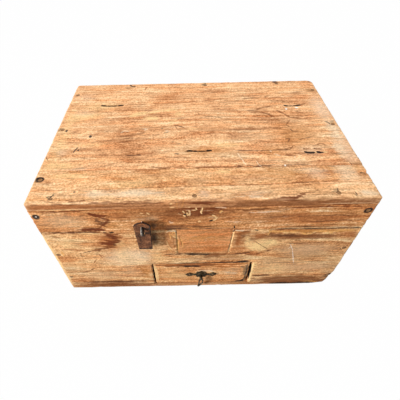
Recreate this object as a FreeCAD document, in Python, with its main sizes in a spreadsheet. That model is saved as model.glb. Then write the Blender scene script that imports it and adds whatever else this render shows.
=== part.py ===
import FreeCAD, Part
import math
import os
import re
from collections import namedtuple

import Sketcher
from FreeCAD import Vector

# A small carpenter's tool chest of nailed boards. The body holds an open tool compartment above a
# drawer, and the lid is a shallow frame of four rails under three top boards. Two iron butt hinges
# join them at the back, an iron hasp hangs on a staple in the lid's front rail, and the drawer has a
# cast brass drop pull. Row frame: X to the right, Y to the back, Z up, origin at the centre of the
# underside. Millimetres.

SIZES = [
    ("box_width", 600, "whole width, X"),
    ("box_depth", 410, "front board's face to back board's face, Y"),
    ("body_height", 221, "underside to the line where the lid meets the body, Z"),
    ("lid_height", 79, "from that line to the top, Z"),
    ("lid_gap", 0.4, "seam between the closed lid and the body"),
    ("top_thickness", 17.5, "lid's top boards"),
    ("front_thickness", 20, "front board and the lid's front rail"),
    ("back_thickness", 20, "back board and the lid's back rail"),
    ("side_thickness", 22, "side boards and the lid's side rails"),
    ("bottom_thickness", 14, "bottom board"),
    ("joint_setback", 82.5, "front edge of the lid to the joint of its rear board"),
    ("strip_left", 31, "front strip's width at its left end"),
    ("strip_right", 40.5, "front strip's width at its right end"),
    ("joint_gap", 0.6, "open joint between two top boards"),
    ("slit_width", 3.5, "slits sawn through the rear top board"),
    ("slit_length", 50, "the left slit and the middle one"),
    ("slit_medium", 38, "the rear slit on the right"),
    ("slit_short", 16, "one half of the broken slit"),
    ("slit_bridge", 5, "wood left between the halves of the broken slit"),
    ("slit_rear_setback", 103, "back edge to the two rear slits"),
    ("slit_front_setback", 132, "front edge to the two front slits"),
    ("slit_left_inset", 105, "left end to the middle of the left slit"),
    ("slit_right_inset", 78, "right end to the middle of the right slits"),
    ("patch_width", 105, "block let into the front where a lock once was"),
    ("patch_height", 78, "block's height, down from the lid line"),
    ("patch_depth", 10, "depth of its recess"),
    ("patch_shift", 6.5, "block's middle, to the right of the chest's middle"),
    ("patch_gap", 0.5, "open joint round the block"),
    ("opening_width", 215, "drawer opening"),
    ("opening_height", 87, "drawer opening, from the bottom board up"),
    ("opening_shift", 4.5, "opening's middle, to the right of the chest's middle"),
    ("guide_thickness", 12, "upright boards beside the drawer"),
    ("floor_thickness", 12, "floor of the tool compartment"),
    ("cleat_width", 15, "strips under the floor's ends, X"),
    ("cleat_height", 20, "strips under the floor's ends, Z"),
    ("drawer_gap_left", 2, "drawer to the opening's left edge"),
    ("drawer_gap_right", 4, "drawer to the opening's right edge"),
    ("drawer_gap_top", 1.8, "drawer to the opening's top edge"),
    ("drawer_gap_under", 0.3, "running gap over the bottom board"),
    ("drawer_recess", 1, "drawer front behind the chest's face"),
    ("drawer_length", 365, "drawer, front to back"),
    ("drawer_front_thickness", 16, "drawer front"),
    ("drawer_front_lap", 9, "depth of the rebates that take the drawer's sides"),
    ("drawer_board", 9, "drawer's sides and back"),
    ("drawer_side_height", 70, "drawer's sides and back"),
    ("drawer_bottom_thickness", 6, "drawer's bottom"),
    ("nail_radius", 1.6, "forged nail's shank"),
    ("nail_length", 42, "forged nail, head to point"),
    ("nail_head_radius", 4.2, "forged nail's head"),
    ("nail_head_thickness", 1.2, "forged nail's head"),
    ("nail_sink", 0.3, "head below the wood's face"),
    ("nail_fit", 0.05, "gap round a nail, screw or pin in its hole"),
    ("left_nail_low", 53, "height of a nail in the body's left corner"),
    ("left_nail_high", 144, "height of a nail in the body's left corner"),
    ("right_nail_low", 40, "height of a nail in the body's right corner"),
    ("right_nail_high", 150, "height of a nail in the body's right corner"),
    ("rail_nail_drop", 16, "top boards' underside down to the nails in the rails' corners"),
    ("top_nail_inset", 13, "lid's front or back edge to its row of nails"),
    ("back_row_pitch", 181, "nails along the lid's back edge"),
    ("back_row_shift", 27, "that row's middle nail from the chest's middle"),
    ("front_row_pitch", 244, "nails along the lid's front edge"),
    ("front_row_shift", -13, "that row's middle nail from the chest's middle"),
    ("side_nail_setback", 50, "lid's back edge to the first nail in a side rail"),
    ("side_nail_pitch", 147, "from that nail to the next one forward"),
    ("bottom_nail_x", 180, "nails under the front and back boards, from the middle"),
    ("bottom_nail_y", 120, "nails under the side boards, from the middle"),
    ("bottom_nail_inset", 10, "edge of the bottom board to its nails"),
    ("brad_radius", 1, "drawer nail's shank"),
    ("brad_length", 24, "drawer nail"),
    ("brad_head_radius", 2.4, "drawer nail's head"),
    ("brad_head_thickness", 0.8, "drawer nail's head"),
    ("brad_margin", 14, "drawer nails from the side's upper and lower edges"),
    ("hinge_inset", 120, "end of the chest to the middle of a hinge"),
    ("hinge_length", 60, "hinge, along X"),
    ("leaf_height", 30, "hinge leaf from the pin's axis"),
    ("leaf_thickness", 2, "hinge leaf"),
    ("knuckle_radius", 4, "hinge knuckles"),
    ("knuckle_length", 20, "middle knuckle, along X"),
    ("knuckle_gap", 0.3, "play between knuckles, and round them"),
    ("hinge_pin_radius", 2, "hinge pin"),
    ("pin_head_radius", 2.8, "peened ends of the hinge pin"),
    ("pin_head_thickness", 1.5, "peened ends of the hinge pin"),
    ("screw_radius", 1.6, "hinge screw's shank"),
    ("screw_length", 16, "hinge screw"),
    ("screw_head_radius", 3.2, "hinge screw's head"),
    ("screw_head_thickness", 1.4, "hinge screw's head"),
    ("screw_slot", 0.9, "slot across a screw's head, wide and deep"),
    ("screw_pitch", 20, "screws along a hinge leaf"),
    ("screw_drop", 19, "pin's axis to the row of screws"),
    ("hasp_middle", -106, "staple's place, from the chest's middle"),
    ("staple_rise", 10, "lid line up to the staple's lower leg"),
    ("staple_spacing", 16, "between the axes of the staple's legs"),
    ("staple_rod_radius", 2.5, "staple's rod"),
    ("staple_reach", 24, "staple's outermost point from the rail's face"),
    ("staple_clench", 11, "bent end of the upper leg, behind the rail"),
    ("staple_lower_clench", 10, "bent end of the lower leg, behind the rail"),
    ("staple_bend", 5, "radius of the bent ends"),
    ("hasp_standoff", 11, "strap's back from the rail's face"),
    ("hasp_thickness", 3, "hasp strap"),
    ("hasp_width_top", 30, "strap at its shoulders"),
    ("hasp_width_bottom", 26, "strap at its lower end"),
    ("hasp_head", 11, "strap above the slot"),
    ("hasp_shoulder", 9, "shoulders of the strap below its top"),
    ("hasp_drop", 69, "strap below the top of the slot"),
    ("hasp_slot_width", 6.6, "slot round the staple"),
    ("hasp_slot_length", 25, "slot round the staple"),
    ("hasp_play", 0.3, "top of the slot over the staple's upper leg"),
    ("pull_shift", -1, "pull, from the drawer's middle"),
    ("pull_rise", 39.5, "drawer's lower edge up to the pull"),
    ("plate_span", 69, "pull's plate, tip to tip"),
    ("plate_thickness", 1.8, "pull's plate"),
    ("plate_disc_radius", 9.5, "middle of the plate"),
    ("petal_radius", 4, "each petal round the middle"),
    ("petal_count", 8, "petals round the middle"),
    ("lobe_length", 17, "leaf-shaped lobe at each end of the plate"),
    ("lobe_height", 15, "leaf-shaped lobe at each end of the plate"),
    ("lobe_tip", 2, "blunt outer end of a lobe"),
    ("neck_height", 5.5, "neck between a lobe and the middle"),
    ("boss_radius", 7.5, "raised boss round the post"),
    ("boss_height", 2.2, "raised boss round the post"),
    ("tack_radius", 0.9, "plate nail's shank"),
    ("tack_length", 12, "plate nail"),
    ("tack_head_radius", 2, "plate nail's head"),
    ("tack_head_thickness", 0.8, "plate nail's head"),
    ("post_radius", 3.2, "pull's post and its round end"),
    ("post_reach", 10, "drawer's face to the pull's pin"),
    ("post_round", 2.2, "rounding of the post's outer end"),
    ("post_slot", 3.4, "fork in the post's end"),
    ("pull_pin_radius", 1, "pin through the fork"),
    ("washer_radius", 7, "washer behind the drawer front"),
    ("washer_thickness", 1.5, "washer behind the drawer front"),
    ("rivet_radius", 4.6, "post's riveted end"),
    ("rivet_thickness", 1.4, "post's riveted end"),
    ("tongue_width", 2.8, "drop's eye, in the fork"),
    ("tongue_radius", 3, "drop's eye"),
    ("drop_width", 10, "loop of the drop"),
    ("drop_length", 38, "pin to the drop's lower end"),
    ("drop_wall", 2.5, "loop's sides"),
    ("drop_crown", 3.3, "loop's top, over its opening"),
    ("drop_thickness", 3.6, "loop, front to back"),
    ("drop_lean", 6, "lower end to the left of the pin"),
    ("drop_edge", 0.8, "rounding of the loop's edges"),
    ("drop_play", 0.5, "drop clear of the post"),
]

FORMULAS = {
    "box_height": "body_height + lid_height",
    "top_underside": "box_height - top_thickness",
    "rail_bottom": "body_height + lid_gap",
    "rail_height": "top_underside - rail_bottom",
    "half_width": "box_width / 2",
    "half_depth": "box_depth / 2",
    "inner_front": "-half_depth + front_thickness",
    "inner_back": "half_depth - back_thickness",
    "inner_width": "half_width - side_thickness",
    "corner_nail_x": "half_width - side_thickness / 2",
    "joint_y": "-half_depth + joint_setback",
    "patch_left": "patch_shift - patch_width / 2",
    "patch_right": "patch_shift + patch_width / 2",
    "patch_bottom": "body_height - patch_height",
    "opening_left": "opening_shift - opening_width / 2",
    "opening_right": "opening_shift + opening_width / 2",
    "opening_top": "bottom_thickness + opening_height",
    "floor_top": "opening_top + floor_thickness",
    "drawer_left": "opening_left + drawer_gap_left",
    "drawer_right": "opening_right - drawer_gap_right",
    "drawer_low": "bottom_thickness + drawer_gap_under",
    "drawer_high": "opening_top - drawer_gap_top",
    "drawer_face": "-half_depth + drawer_recess",
    "drawer_rear": "drawer_face + drawer_length",
    "drawer_side_top": "drawer_low + drawer_side_height",
    "middle_nail_y": "joint_y - (joint_setback - (strip_left + strip_right) / 2) / 2",
    "first_side_nail_y": "half_depth - side_nail_setback",
    "next_side_nail_y": "first_side_nail_y - side_nail_pitch",
    "rail_nail_z": "top_underside - rail_nail_drop",
    "pull_x": "(drawer_left + drawer_right) / 2 + pull_shift",
    "pull_z": "drawer_low + pull_rise",
    "hinge_x": "half_width - hinge_inset",
    "hinge_y": "half_depth + knuckle_radius + knuckle_gap",
    "hinge_z": "body_height + lid_gap / 2",
    "leaf_back": "knuckle_radius + knuckle_gap",
    "loop_radius": "staple_spacing / 2",
    "loop_centre": "staple_reach - staple_rod_radius - loop_radius",
    "clench_plane": "front_thickness + staple_bend",
    "lobe_middle": "plate_span / 2 - lobe_length / 2",
}

# A flat face that work starts from: an origin plane, the face's place along that plane's normal, and
# whether the wood lies against the normal, behind the face.
Face = namedtuple("Face", "plane offset against")
FRONT = Face("XZ_Plane", "half_depth", True)
BACK = Face("XZ_Plane", "-half_depth", False)
TOP = Face("XY_Plane", "box_height", True)
UNDERSIDE = Face("XY_Plane", "0", False)
LEFT = Face("YZ_Plane", "-half_width", False)
RIGHT = Face("YZ_Plane", "half_width", True)
FACE_OF_PLATE = Face("XZ_Plane", "0", False)
MIDDLE_OF_PLATE = Face("YZ_Plane", "0", False)

QUARTER = math.pi / 2
SAME_PLACE = 1e-6
CUBIC_MM_IN_CM3 = 1000

doc = FreeCAD.newDocument("tool_chest")
sheet = doc.addObject("Spreadsheet::Sheet", "Sizes")
nodes = []


def fill_sheet():
    """One row for each driving size: name, value, what it measures."""
    for row, (name, number, note) in enumerate(SIZES, start=1):
        sheet.set(f"A{row}", name)
        sheet.set(f"B{row}", str(number))
        sheet.setAlias(f"B{row}", name)
        sheet.set(f"C{row}", note)
    doc.recompute()


def formula(text):
    """Write out the formulas that text names, and point its sizes at the sheet."""
    names = [name for name, _, _ in SIZES]

    def written_out(match):
        word = match.group(0)
        if word in FORMULAS:
            return "(" + formula(FORMULAS[word]) + ")"
        return "Sizes." + word if word in names else word

    return re.sub(r"[a-z_]+", written_out, text)


def value(text):
    """Present value of a formula in millimetres, for a sketch's first geometry."""
    in_numbers = re.sub(r"Sizes\.([a-z_]+)", lambda match: f"({sheet.get(match.group(1))})", formula(text))
    return FreeCAD.Units.Quantity(in_numbers).Value


def moved(face, depth):
    """The same face, deeper into the wood by depth."""
    sign = "-" if face.against else "+"
    return face._replace(offset=f"{face.offset} {sign} ({depth})")


def turned(face):
    """The same face, with the wood on its other side."""
    return face._replace(against=not face.against)


def place(item, across="0", deep="0", high="0"):
    """Bind a sub-part's Placement to the sheet."""
    item.Placement = FreeCAD.Placement()
    for axis, text in zip("xyz", (across, deep, high)):
        item.setExpression(f"Placement.Base.{axis}", formula(text))


def new_body(label, across="0", deep="0", high="0"):
    """An empty body for one sub-part, kept for export under its label."""
    body = doc.addObject("PartDesign::Body", label)
    body.Label = label
    body.AllowCompound = True
    place(body, across, deep, high)
    nodes.append(body)
    return body


def new_sketch(body, face):
    """A sketch on one of the body's own origin planes, moved along its normal."""
    sketch = body.newObject("Sketcher::SketchObject", body.Label + "_sketch")
    planes = {feature.Role: feature for feature in body.Origin.OriginFeatures}
    sketch.AttachmentSupport = (planes[face.plane], [""])
    sketch.MapMode = "FlatFace"
    sketch.setExpression("AttachmentOffset.Base.z", formula(face.offset))
    return sketch


def dimension(sketch, kind, arguments, text):
    """A dimension of the sketch, bound to the sheet."""
    number = sketch.addConstraint(Sketcher.Constraint(kind, *arguments, value(text)))
    sketch.setExpression(f"Constraints[{number}]", formula(text))


def pin_point(sketch, geometry, point, across, high):
    """Give a point of the sketch its two distances from the origin."""
    dimension(sketch, "DistanceX", (-1, 1, geometry, point), across)
    dimension(sketch, "DistanceY", (-1, 1, geometry, point), high)


def outline(sketch, corners):
    """A closed outline of straight lines through the corners."""
    points = [Vector(value(across), value(high), 0) for across, high in corners]
    first = sketch.GeometryCount
    for start, end in zip(points, points[1:] + points[:1]):
        sketch.addGeometry(Part.LineSegment(start, end), False)
    for number, (across, high) in enumerate(corners):
        following = (number + 1) % len(corners)
        sketch.addConstraint(Sketcher.Constraint("Coincident", first + number, 2, first + following, 1))
        pin_point(sketch, first + number, 1, across, high)


def sketch_line(sketch, start, end):
    """A free line between two (across, high) points; gives its number in the sketch."""
    return sketch.addGeometry(Part.LineSegment(Vector(*start, 0), Vector(*end, 0)), False)


def sketch_arc(sketch, centre, radius, start, end):
    """A free arc from one angle to another; gives its number in the sketch."""
    whole = Part.Circle(Vector(*centre, 0), Vector(0, 0, 1), radius)
    return sketch.addGeometry(Part.ArcOfCircle(whole, start, end), False)


def circle(sketch, across, high, radius):
    """A circle with its centre and radius."""
    centre = Vector(value(across), value(high), 0)
    number = sketch.addGeometry(Part.Circle(centre, Vector(0, 0, 1), value(radius)), False)
    pin_point(sketch, number, 3, across, high)
    dimension(sketch, "Radius", (number,), radius)


def grow(body, face, depth, draw):
    """Pad what draw puts in a new sketch, from the face into the wood."""
    sketch = new_sketch(body, face)
    draw(sketch)
    pad = body.newObject("PartDesign::Pad", body.Label + "_pad")
    pad.Profile = sketch
    pad.Reversed = face.against
    pad.setExpression("Length", formula(depth))
    body.Tip = pad
    return pad


def carve(body, face, depth, draw):
    """Pocket what draw puts in a new sketch, from the face into the wood."""
    sketch = new_sketch(body, face)
    draw(sketch)
    pocket = body.newObject("PartDesign::Pocket", body.Label + "_pocket")
    pocket.Profile = sketch
    pocket.Reversed = not face.against
    pocket.setExpression("Length", formula(depth))
    body.Tip = pocket
    return pocket


def round_over(body, levels, radius):
    """Round the edges of the body's faces that lie flat at the given distances along Y."""
    doc.recompute()
    sharp = body.Tip
    places = [value(level) for level in levels]
    rims = [
        f"Face{number}"
        for number, face in enumerate(sharp.Shape.Faces, start=1)
        if any(abs(face.CenterOfMass.y - place_of_face) < SAME_PLACE for place_of_face in places)
    ]
    fillet = body.newObject("PartDesign::Fillet", body.Label + "_round")
    fillet.Base = (sharp, rims)
    fillet.setExpression("Radius", formula(radius))
    body.Tip = fillet


def rectangle(left, right, low, high):
    """What draws a rectangle between two distances across and two up."""
    corners = [(left, low), (right, low), (right, high), (left, high)]
    return lambda sketch: outline(sketch, corners)


def circles(centres, radius):
    """What draws a circle at each centre."""

    def draw(sketch):
        for across, high in centres:
            circle(sketch, across, high, radius)

    return draw


def board(label, face, left, right, low, high, thickness):
    """A rectangular board behind a face."""
    body = new_body(label)
    grow(body, face, thickness, rectangle(left, right, low, high))
    return body


# Fasteners: what a nail or screw needs in each piece it passes.
Fastener = namedtuple("Fastener", "radius length head_radius head_thickness sink")
NAIL = Fastener("nail_radius", "nail_length", "nail_head_radius", "nail_head_thickness", "nail_sink")
BRAD = Fastener("brad_radius", "brad_length", "brad_head_radius", "brad_head_thickness", "nail_sink")
SCREW = Fastener("screw_radius", "screw_length", "screw_head_radius", "screw_head_thickness", "0")
TACK = Fastener("tack_radius", "tack_length", "tack_head_radius", "tack_head_thickness", "0")


def drive(body, kind, face, centres):
    """Add fasteners to a body, driven in from the face at each centre."""
    seat = moved(face, kind.sink)
    grow(body, seat, kind.head_thickness, circles(centres, kind.head_radius))
    under_head = moved(seat, kind.head_thickness)
    grow(body, under_head, f"{kind.length} - {kind.head_thickness}", circles(centres, kind.radius))


def bore(body, kind, face, centres, with_heads=True):
    """Cut the holes for fasteners that drive() puts in from the same face."""
    if with_heads:
        depth = f"{kind.sink} + {kind.head_thickness}"
        carve(body, face, depth, circles(centres, f"{kind.head_radius} + nail_fit"))
    depth = f"{kind.sink} + {kind.length}"
    carve(body, face, depth, circles(centres, f"{kind.radius} + nail_fit"))


LEFT_CORNER_NAILS = [("-corner_nail_x", "left_nail_low"), ("-corner_nail_x", "left_nail_high")]
RIGHT_CORNER_NAILS = [("corner_nail_x", "right_nail_low"), ("corner_nail_x", "right_nail_high")]
CORNER_NAILS = LEFT_CORNER_NAILS + RIGHT_CORNER_NAILS
LEFT_RAIL_NAILS = [("-corner_nail_x", "rail_nail_z")]
RIGHT_RAIL_NAILS = [("corner_nail_x", "rail_nail_z")]
RAIL_NAILS = LEFT_RAIL_NAILS + RIGHT_RAIL_NAILS

FRONT_BOTTOM_NAILS = [(f"{sign}bottom_nail_x", "-half_depth + bottom_nail_inset") for sign in ("-", "")]
BACK_BOTTOM_NAILS = [(f"{sign}bottom_nail_x", "half_depth - bottom_nail_inset") for sign in ("-", "")]
LEFT_BOTTOM_NAILS = [("-half_width + bottom_nail_inset", f"{sign}bottom_nail_y") for sign in ("-", "")]
RIGHT_BOTTOM_NAILS = [("half_width - bottom_nail_inset", f"{sign}bottom_nail_y") for sign in ("-", "")]
BOTTOM_NAILS = FRONT_BOTTOM_NAILS + BACK_BOTTOM_NAILS + LEFT_BOTTOM_NAILS + RIGHT_BOTTOM_NAILS

ROW_STEPS = (-1, 0, 1)
BACK_ROW = [
    (f"back_row_shift + {step} * back_row_pitch", "half_depth - top_nail_inset") for step in ROW_STEPS
]
FRONT_ROW = [
    (f"front_row_shift + {step} * front_row_pitch", "-half_depth + top_nail_inset") for step in ROW_STEPS
]
REAR_BOARD_SIDE_ROWS = {
    side: [(side + "corner_nail_x", "first_side_nail_y"), (side + "corner_nail_x", "next_side_nail_y")]
    for side in ("-", "")
}
MIDDLE_BOARD_NAILS = {side: [(side + "corner_nail_x", "middle_nail_y")] for side in ("-", "")}

HINGE_SCREW_STEPS = ("-screw_pitch", "0", "screw_pitch")


def hinge_screws(level):
    """Screw centres of both hinges on the back, level being below or above the pin."""
    centres = []
    for side in ("-", ""):
        for step in HINGE_SCREW_STEPS:
            centres.append((f"{side}hinge_x + {step}", f"hinge_z {level} screw_drop"))
    return centres


# The body of the chest.


def make_bottom_board():
    """Bottom board, under the whole chest."""
    body = board("bottom_board", UNDERSIDE, "-half_width", "half_width", "-half_depth", "half_depth",
                 "bottom_thickness")
    bore(body, NAIL, UNDERSIDE, BOTTOM_NAILS)


def make_front_board():
    """Full-width board, notched for the drawer and recessed for the patch."""
    body = board("front_board", FRONT, "-half_width", "half_width", "bottom_thickness", "body_height",
                 "front_thickness")
    carve(body, FRONT, "front_thickness",
          rectangle("opening_left", "opening_right", "bottom_thickness", "opening_top"))
    carve(body, FRONT, "patch_depth",
          rectangle("patch_left", "patch_right", "patch_bottom", "body_height"))
    bore(body, NAIL, FRONT, CORNER_NAILS)
    bore(body, NAIL, UNDERSIDE, FRONT_BOTTOM_NAILS, with_heads=False)


def make_front_patch():
    """Block that fills the front board's recess, flush with its face."""
    board("front_patch", FRONT, "patch_left + patch_gap", "patch_right - patch_gap",
          "patch_bottom + patch_gap", "body_height", "patch_depth")


def make_back_board():
    """Full-width board that carries the lower hinge leaves."""
    body = board("back_board", BACK, "-half_width", "half_width", "bottom_thickness", "body_height",
                 "back_thickness")
    bore(body, NAIL, BACK, CORNER_NAILS)
    bore(body, NAIL, UNDERSIDE, BACK_BOTTOM_NAILS, with_heads=False)
    bore(body, SCREW, moved(BACK, "-leaf_thickness"), hinge_screws("-"), with_heads=False)


def make_side_board(label, face, corner_nails, bottom_nails):
    """Side board, held between the front and back boards."""
    body = board(label, face, "inner_front", "inner_back", "bottom_thickness", "body_height",
                 "side_thickness")
    bore(body, NAIL, FRONT, corner_nails, with_heads=False)
    bore(body, NAIL, BACK, corner_nails, with_heads=False)
    bore(body, NAIL, UNDERSIDE, bottom_nails, with_heads=False)


def make_compartment():
    """Floor of the tool compartment, on two drawer guides and two cleats."""
    floor = Face("XY_Plane", "opening_top", False)
    board("compartment_floor", floor, "-inner_width", "inner_width", "inner_front", "inner_back",
          "floor_thickness")
    bay_floor = Face("XY_Plane", "bottom_thickness", False)
    board("left_drawer_guide", bay_floor, "opening_left - guide_thickness", "opening_left",
          "inner_front", "inner_back", "opening_height")
    board("right_drawer_guide", bay_floor, "opening_right", "opening_right + guide_thickness",
          "inner_front", "inner_back", "opening_height")
    under_floor = turned(floor)
    board("left_floor_cleat", under_floor, "-inner_width", "-inner_width + cleat_width",
          "inner_front", "inner_back", "cleat_height")
    board("right_floor_cleat", under_floor, "inner_width - cleat_width", "inner_width",
          "inner_front", "inner_back", "cleat_height")


def make_body_nails():
    """Nails through the front and back into the sides, and up through the bottom."""
    corners = new_body("body_nails")
    drive(corners, NAIL, FRONT, CORNER_NAILS)
    drive(corners, NAIL, BACK, CORNER_NAILS)
    bottom = new_body("bottom_nails")
    drive(bottom, NAIL, UNDERSIDE, BOTTOM_NAILS)


# The lid.


def make_top_boards():
    """Rear board with its slits, middle board, and a front strip that tapers to the left."""
    rear = board("lid_rear_board", TOP, "-half_width", "half_width", "joint_y + joint_gap", "half_depth",
                 "top_thickness")
    rear_line = "half_depth - slit_rear_setback"
    front_line = "-half_depth + slit_front_setback"
    left_middle = "-half_width + slit_left_inset"
    right_middle = "half_width - slit_right_inset"
    slits = [
        (left_middle, rear_line, "slit_length"),
        ("0", front_line, "slit_length"),
        (right_middle, rear_line, "slit_medium"),
        (f"{right_middle} - (slit_short + slit_bridge) / 2", front_line, "slit_short"),
        (f"{right_middle} + (slit_short + slit_bridge) / 2", front_line, "slit_short"),
    ]
    for middle, line, length in slits:
        carve(rear, TOP, "top_thickness",
              rectangle(f"{middle} - ({length}) / 2", f"{middle} + ({length}) / 2",
                        f"{line} - slit_width / 2", f"{line} + slit_width / 2"))
    for side in ("-", ""):
        bore(rear, NAIL, TOP, REAR_BOARD_SIDE_ROWS[side])
    bore(rear, NAIL, TOP, BACK_ROW)

    strip_back_left = ("-half_width", "-half_depth + strip_left")
    strip_back_right = ("half_width", "-half_depth + strip_right")
    middle = new_body("lid_middle_board")
    middle_corners = [
        ("-half_width", "-half_depth + strip_left + joint_gap"),
        ("half_width", "-half_depth + strip_right + joint_gap"),
        ("half_width", "joint_y"),
        ("-half_width", "joint_y"),
    ]
    grow(middle, TOP, "top_thickness", lambda sketch: outline(sketch, middle_corners))
    bore(middle, NAIL, TOP, MIDDLE_BOARD_NAILS["-"] + MIDDLE_BOARD_NAILS[""])

    strip = new_body("lid_front_strip")
    strip_corners = [
        ("-half_width", "-half_depth"), ("half_width", "-half_depth"), strip_back_right, strip_back_left,
    ]
    grow(strip, TOP, "top_thickness", lambda sketch: outline(sketch, strip_corners))
    bore(strip, NAIL, TOP, FRONT_ROW)


def make_lid_rails():
    """Front and back rails at full width, with the side rails between them."""
    front = board("lid_front_rail", FRONT, "-half_width", "half_width", "rail_bottom", "top_underside",
                  "front_thickness")
    bore(front, NAIL, FRONT, RAIL_NAILS)
    bore(front, NAIL, TOP, FRONT_ROW, with_heads=False)
    staple_legs = [
        ("hasp_middle", "body_height + staple_rise"),
        ("hasp_middle", "body_height + staple_rise + staple_spacing"),
    ]
    carve(front, FRONT, "front_thickness", circles(staple_legs, "staple_rod_radius + nail_fit"))

    back = board("lid_back_rail", BACK, "-half_width", "half_width", "rail_bottom", "top_underside",
                 "back_thickness")
    bore(back, NAIL, BACK, RAIL_NAILS)
    bore(back, NAIL, TOP, BACK_ROW, with_heads=False)
    bore(back, SCREW, moved(BACK, "-leaf_thickness"), hinge_screws("+"), with_heads=False)

    sides = [
        ("lid_left_rail", LEFT, LEFT_RAIL_NAILS, "-"),
        ("lid_right_rail", RIGHT, RIGHT_RAIL_NAILS, ""),
    ]
    for label, face, rail_nails, side in sides:
        rail = board(label, face, "inner_front", "inner_back", "rail_bottom", "top_underside",
                     "side_thickness")
        bore(rail, NAIL, FRONT, rail_nails, with_heads=False)
        bore(rail, NAIL, BACK, rail_nails, with_heads=False)
        bore(rail, NAIL, TOP, REAR_BOARD_SIDE_ROWS[side] + MIDDLE_BOARD_NAILS[side], with_heads=False)


def make_lid_nails():
    """Nails down through the top boards, and through the rails' corners."""
    top = new_body("lid_top_nails")
    side_rows = REAR_BOARD_SIDE_ROWS["-"] + REAR_BOARD_SIDE_ROWS[""]
    middle_row = MIDDLE_BOARD_NAILS["-"] + MIDDLE_BOARD_NAILS[""]
    drive(top, NAIL, TOP, BACK_ROW + FRONT_ROW + side_rows + middle_row)
    rails = new_body("lid_rail_nails")
    drive(rails, NAIL, FRONT, RAIL_NAILS)
    drive(rails, NAIL, BACK, RAIL_NAILS)


# Hinges. Each is drawn round its pin's axis, with the leaves lying on the back of the chest.


def make_hinge_leaf(label, side, lower):
    """One leaf: a plate with screw holes, and its own knuckles round the pin."""
    body = new_body(label, f"{side}hinge_x", "hinge_y", "hinge_z")
    plate_face = Face("XZ_Plane", "leaf_back - leaf_thickness", True)
    outer_start = "(knuckle_length / 2 + knuckle_gap)"
    middle_half = "(knuckle_length / 2)"
    if lower:
        plate_span = ("-leaf_height", "-lid_gap")
        swept_span = ("-leaf_back", "0")
        knuckles = [("-hinge_length / 2", f"hinge_length / 2 - {outer_start}"),
                    (outer_start, f"hinge_length / 2 - {outer_start}")]
        notches = [(f"-{outer_start}", outer_start)]
        screw_line = "-screw_drop"
    else:
        plate_span = ("lid_gap", "leaf_height")
        swept_span = ("0", "leaf_back")
        knuckles = [(f"-{middle_half}", "knuckle_length")]
        notches = [("-hinge_length / 2", f"-{middle_half}"), (middle_half, "hinge_length / 2")]
        screw_line = "screw_drop"

    grow(body, plate_face, "leaf_thickness", rectangle("-hinge_length / 2", "hinge_length / 2", *plate_span))
    for left, right in notches:
        carve(body, plate_face, "leaf_thickness", rectangle(left, right, *swept_span))
    for start, length in knuckles:
        grow(body, Face("YZ_Plane", start, False), length, circles([("0", "0")], "knuckle_radius"))
    web = rectangle("-leaf_back", "-leaf_back + leaf_thickness", *swept_span)
    for start, length in knuckles:
        grow(body, Face("YZ_Plane", start, False), length, web)
    carve(body, Face("YZ_Plane", "-hinge_length / 2", False), "hinge_length",
          circles([("0", "0")], "hinge_pin_radius + nail_fit"))
    bore(body, SCREW, plate_face, [(step, screw_line) for step in HINGE_SCREW_STEPS])


def make_hinge_pins():
    """Headed pin through the knuckles of each hinge."""
    pins = new_body("hinge_pins", "0", "hinge_y", "hinge_z")
    shank = circles([("0", "0")], "hinge_pin_radius")
    head = circles([("0", "0")], "pin_head_radius")
    for side in ("-", ""):
        start = f"{side}hinge_x - hinge_length / 2"
        grow(pins, Face("YZ_Plane", start, False), "hinge_length", shank)
        grow(pins, Face("YZ_Plane", start, True), "pin_head_thickness", head)
        grow(pins, Face("YZ_Plane", f"{start} + hinge_length", False), "pin_head_thickness", head)


def make_hinge_screws(label, level):
    """Slotted screws through a pair of leaves."""
    body = new_body(label)
    leaf_outside = moved(BACK, "-leaf_thickness")
    centres = hinge_screws(level)
    drive(body, SCREW, leaf_outside, centres)
    for across, high in centres:
        carve(body, leaf_outside, "screw_slot",
              rectangle(f"{across} - screw_head_radius", f"{across} + screw_head_radius",
                        f"{high} - screw_slot / 2", f"{high} + screw_slot / 2"))


# Staple and hasp. Both are drawn from the rail's face, at the height of the staple's lower leg.


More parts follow.
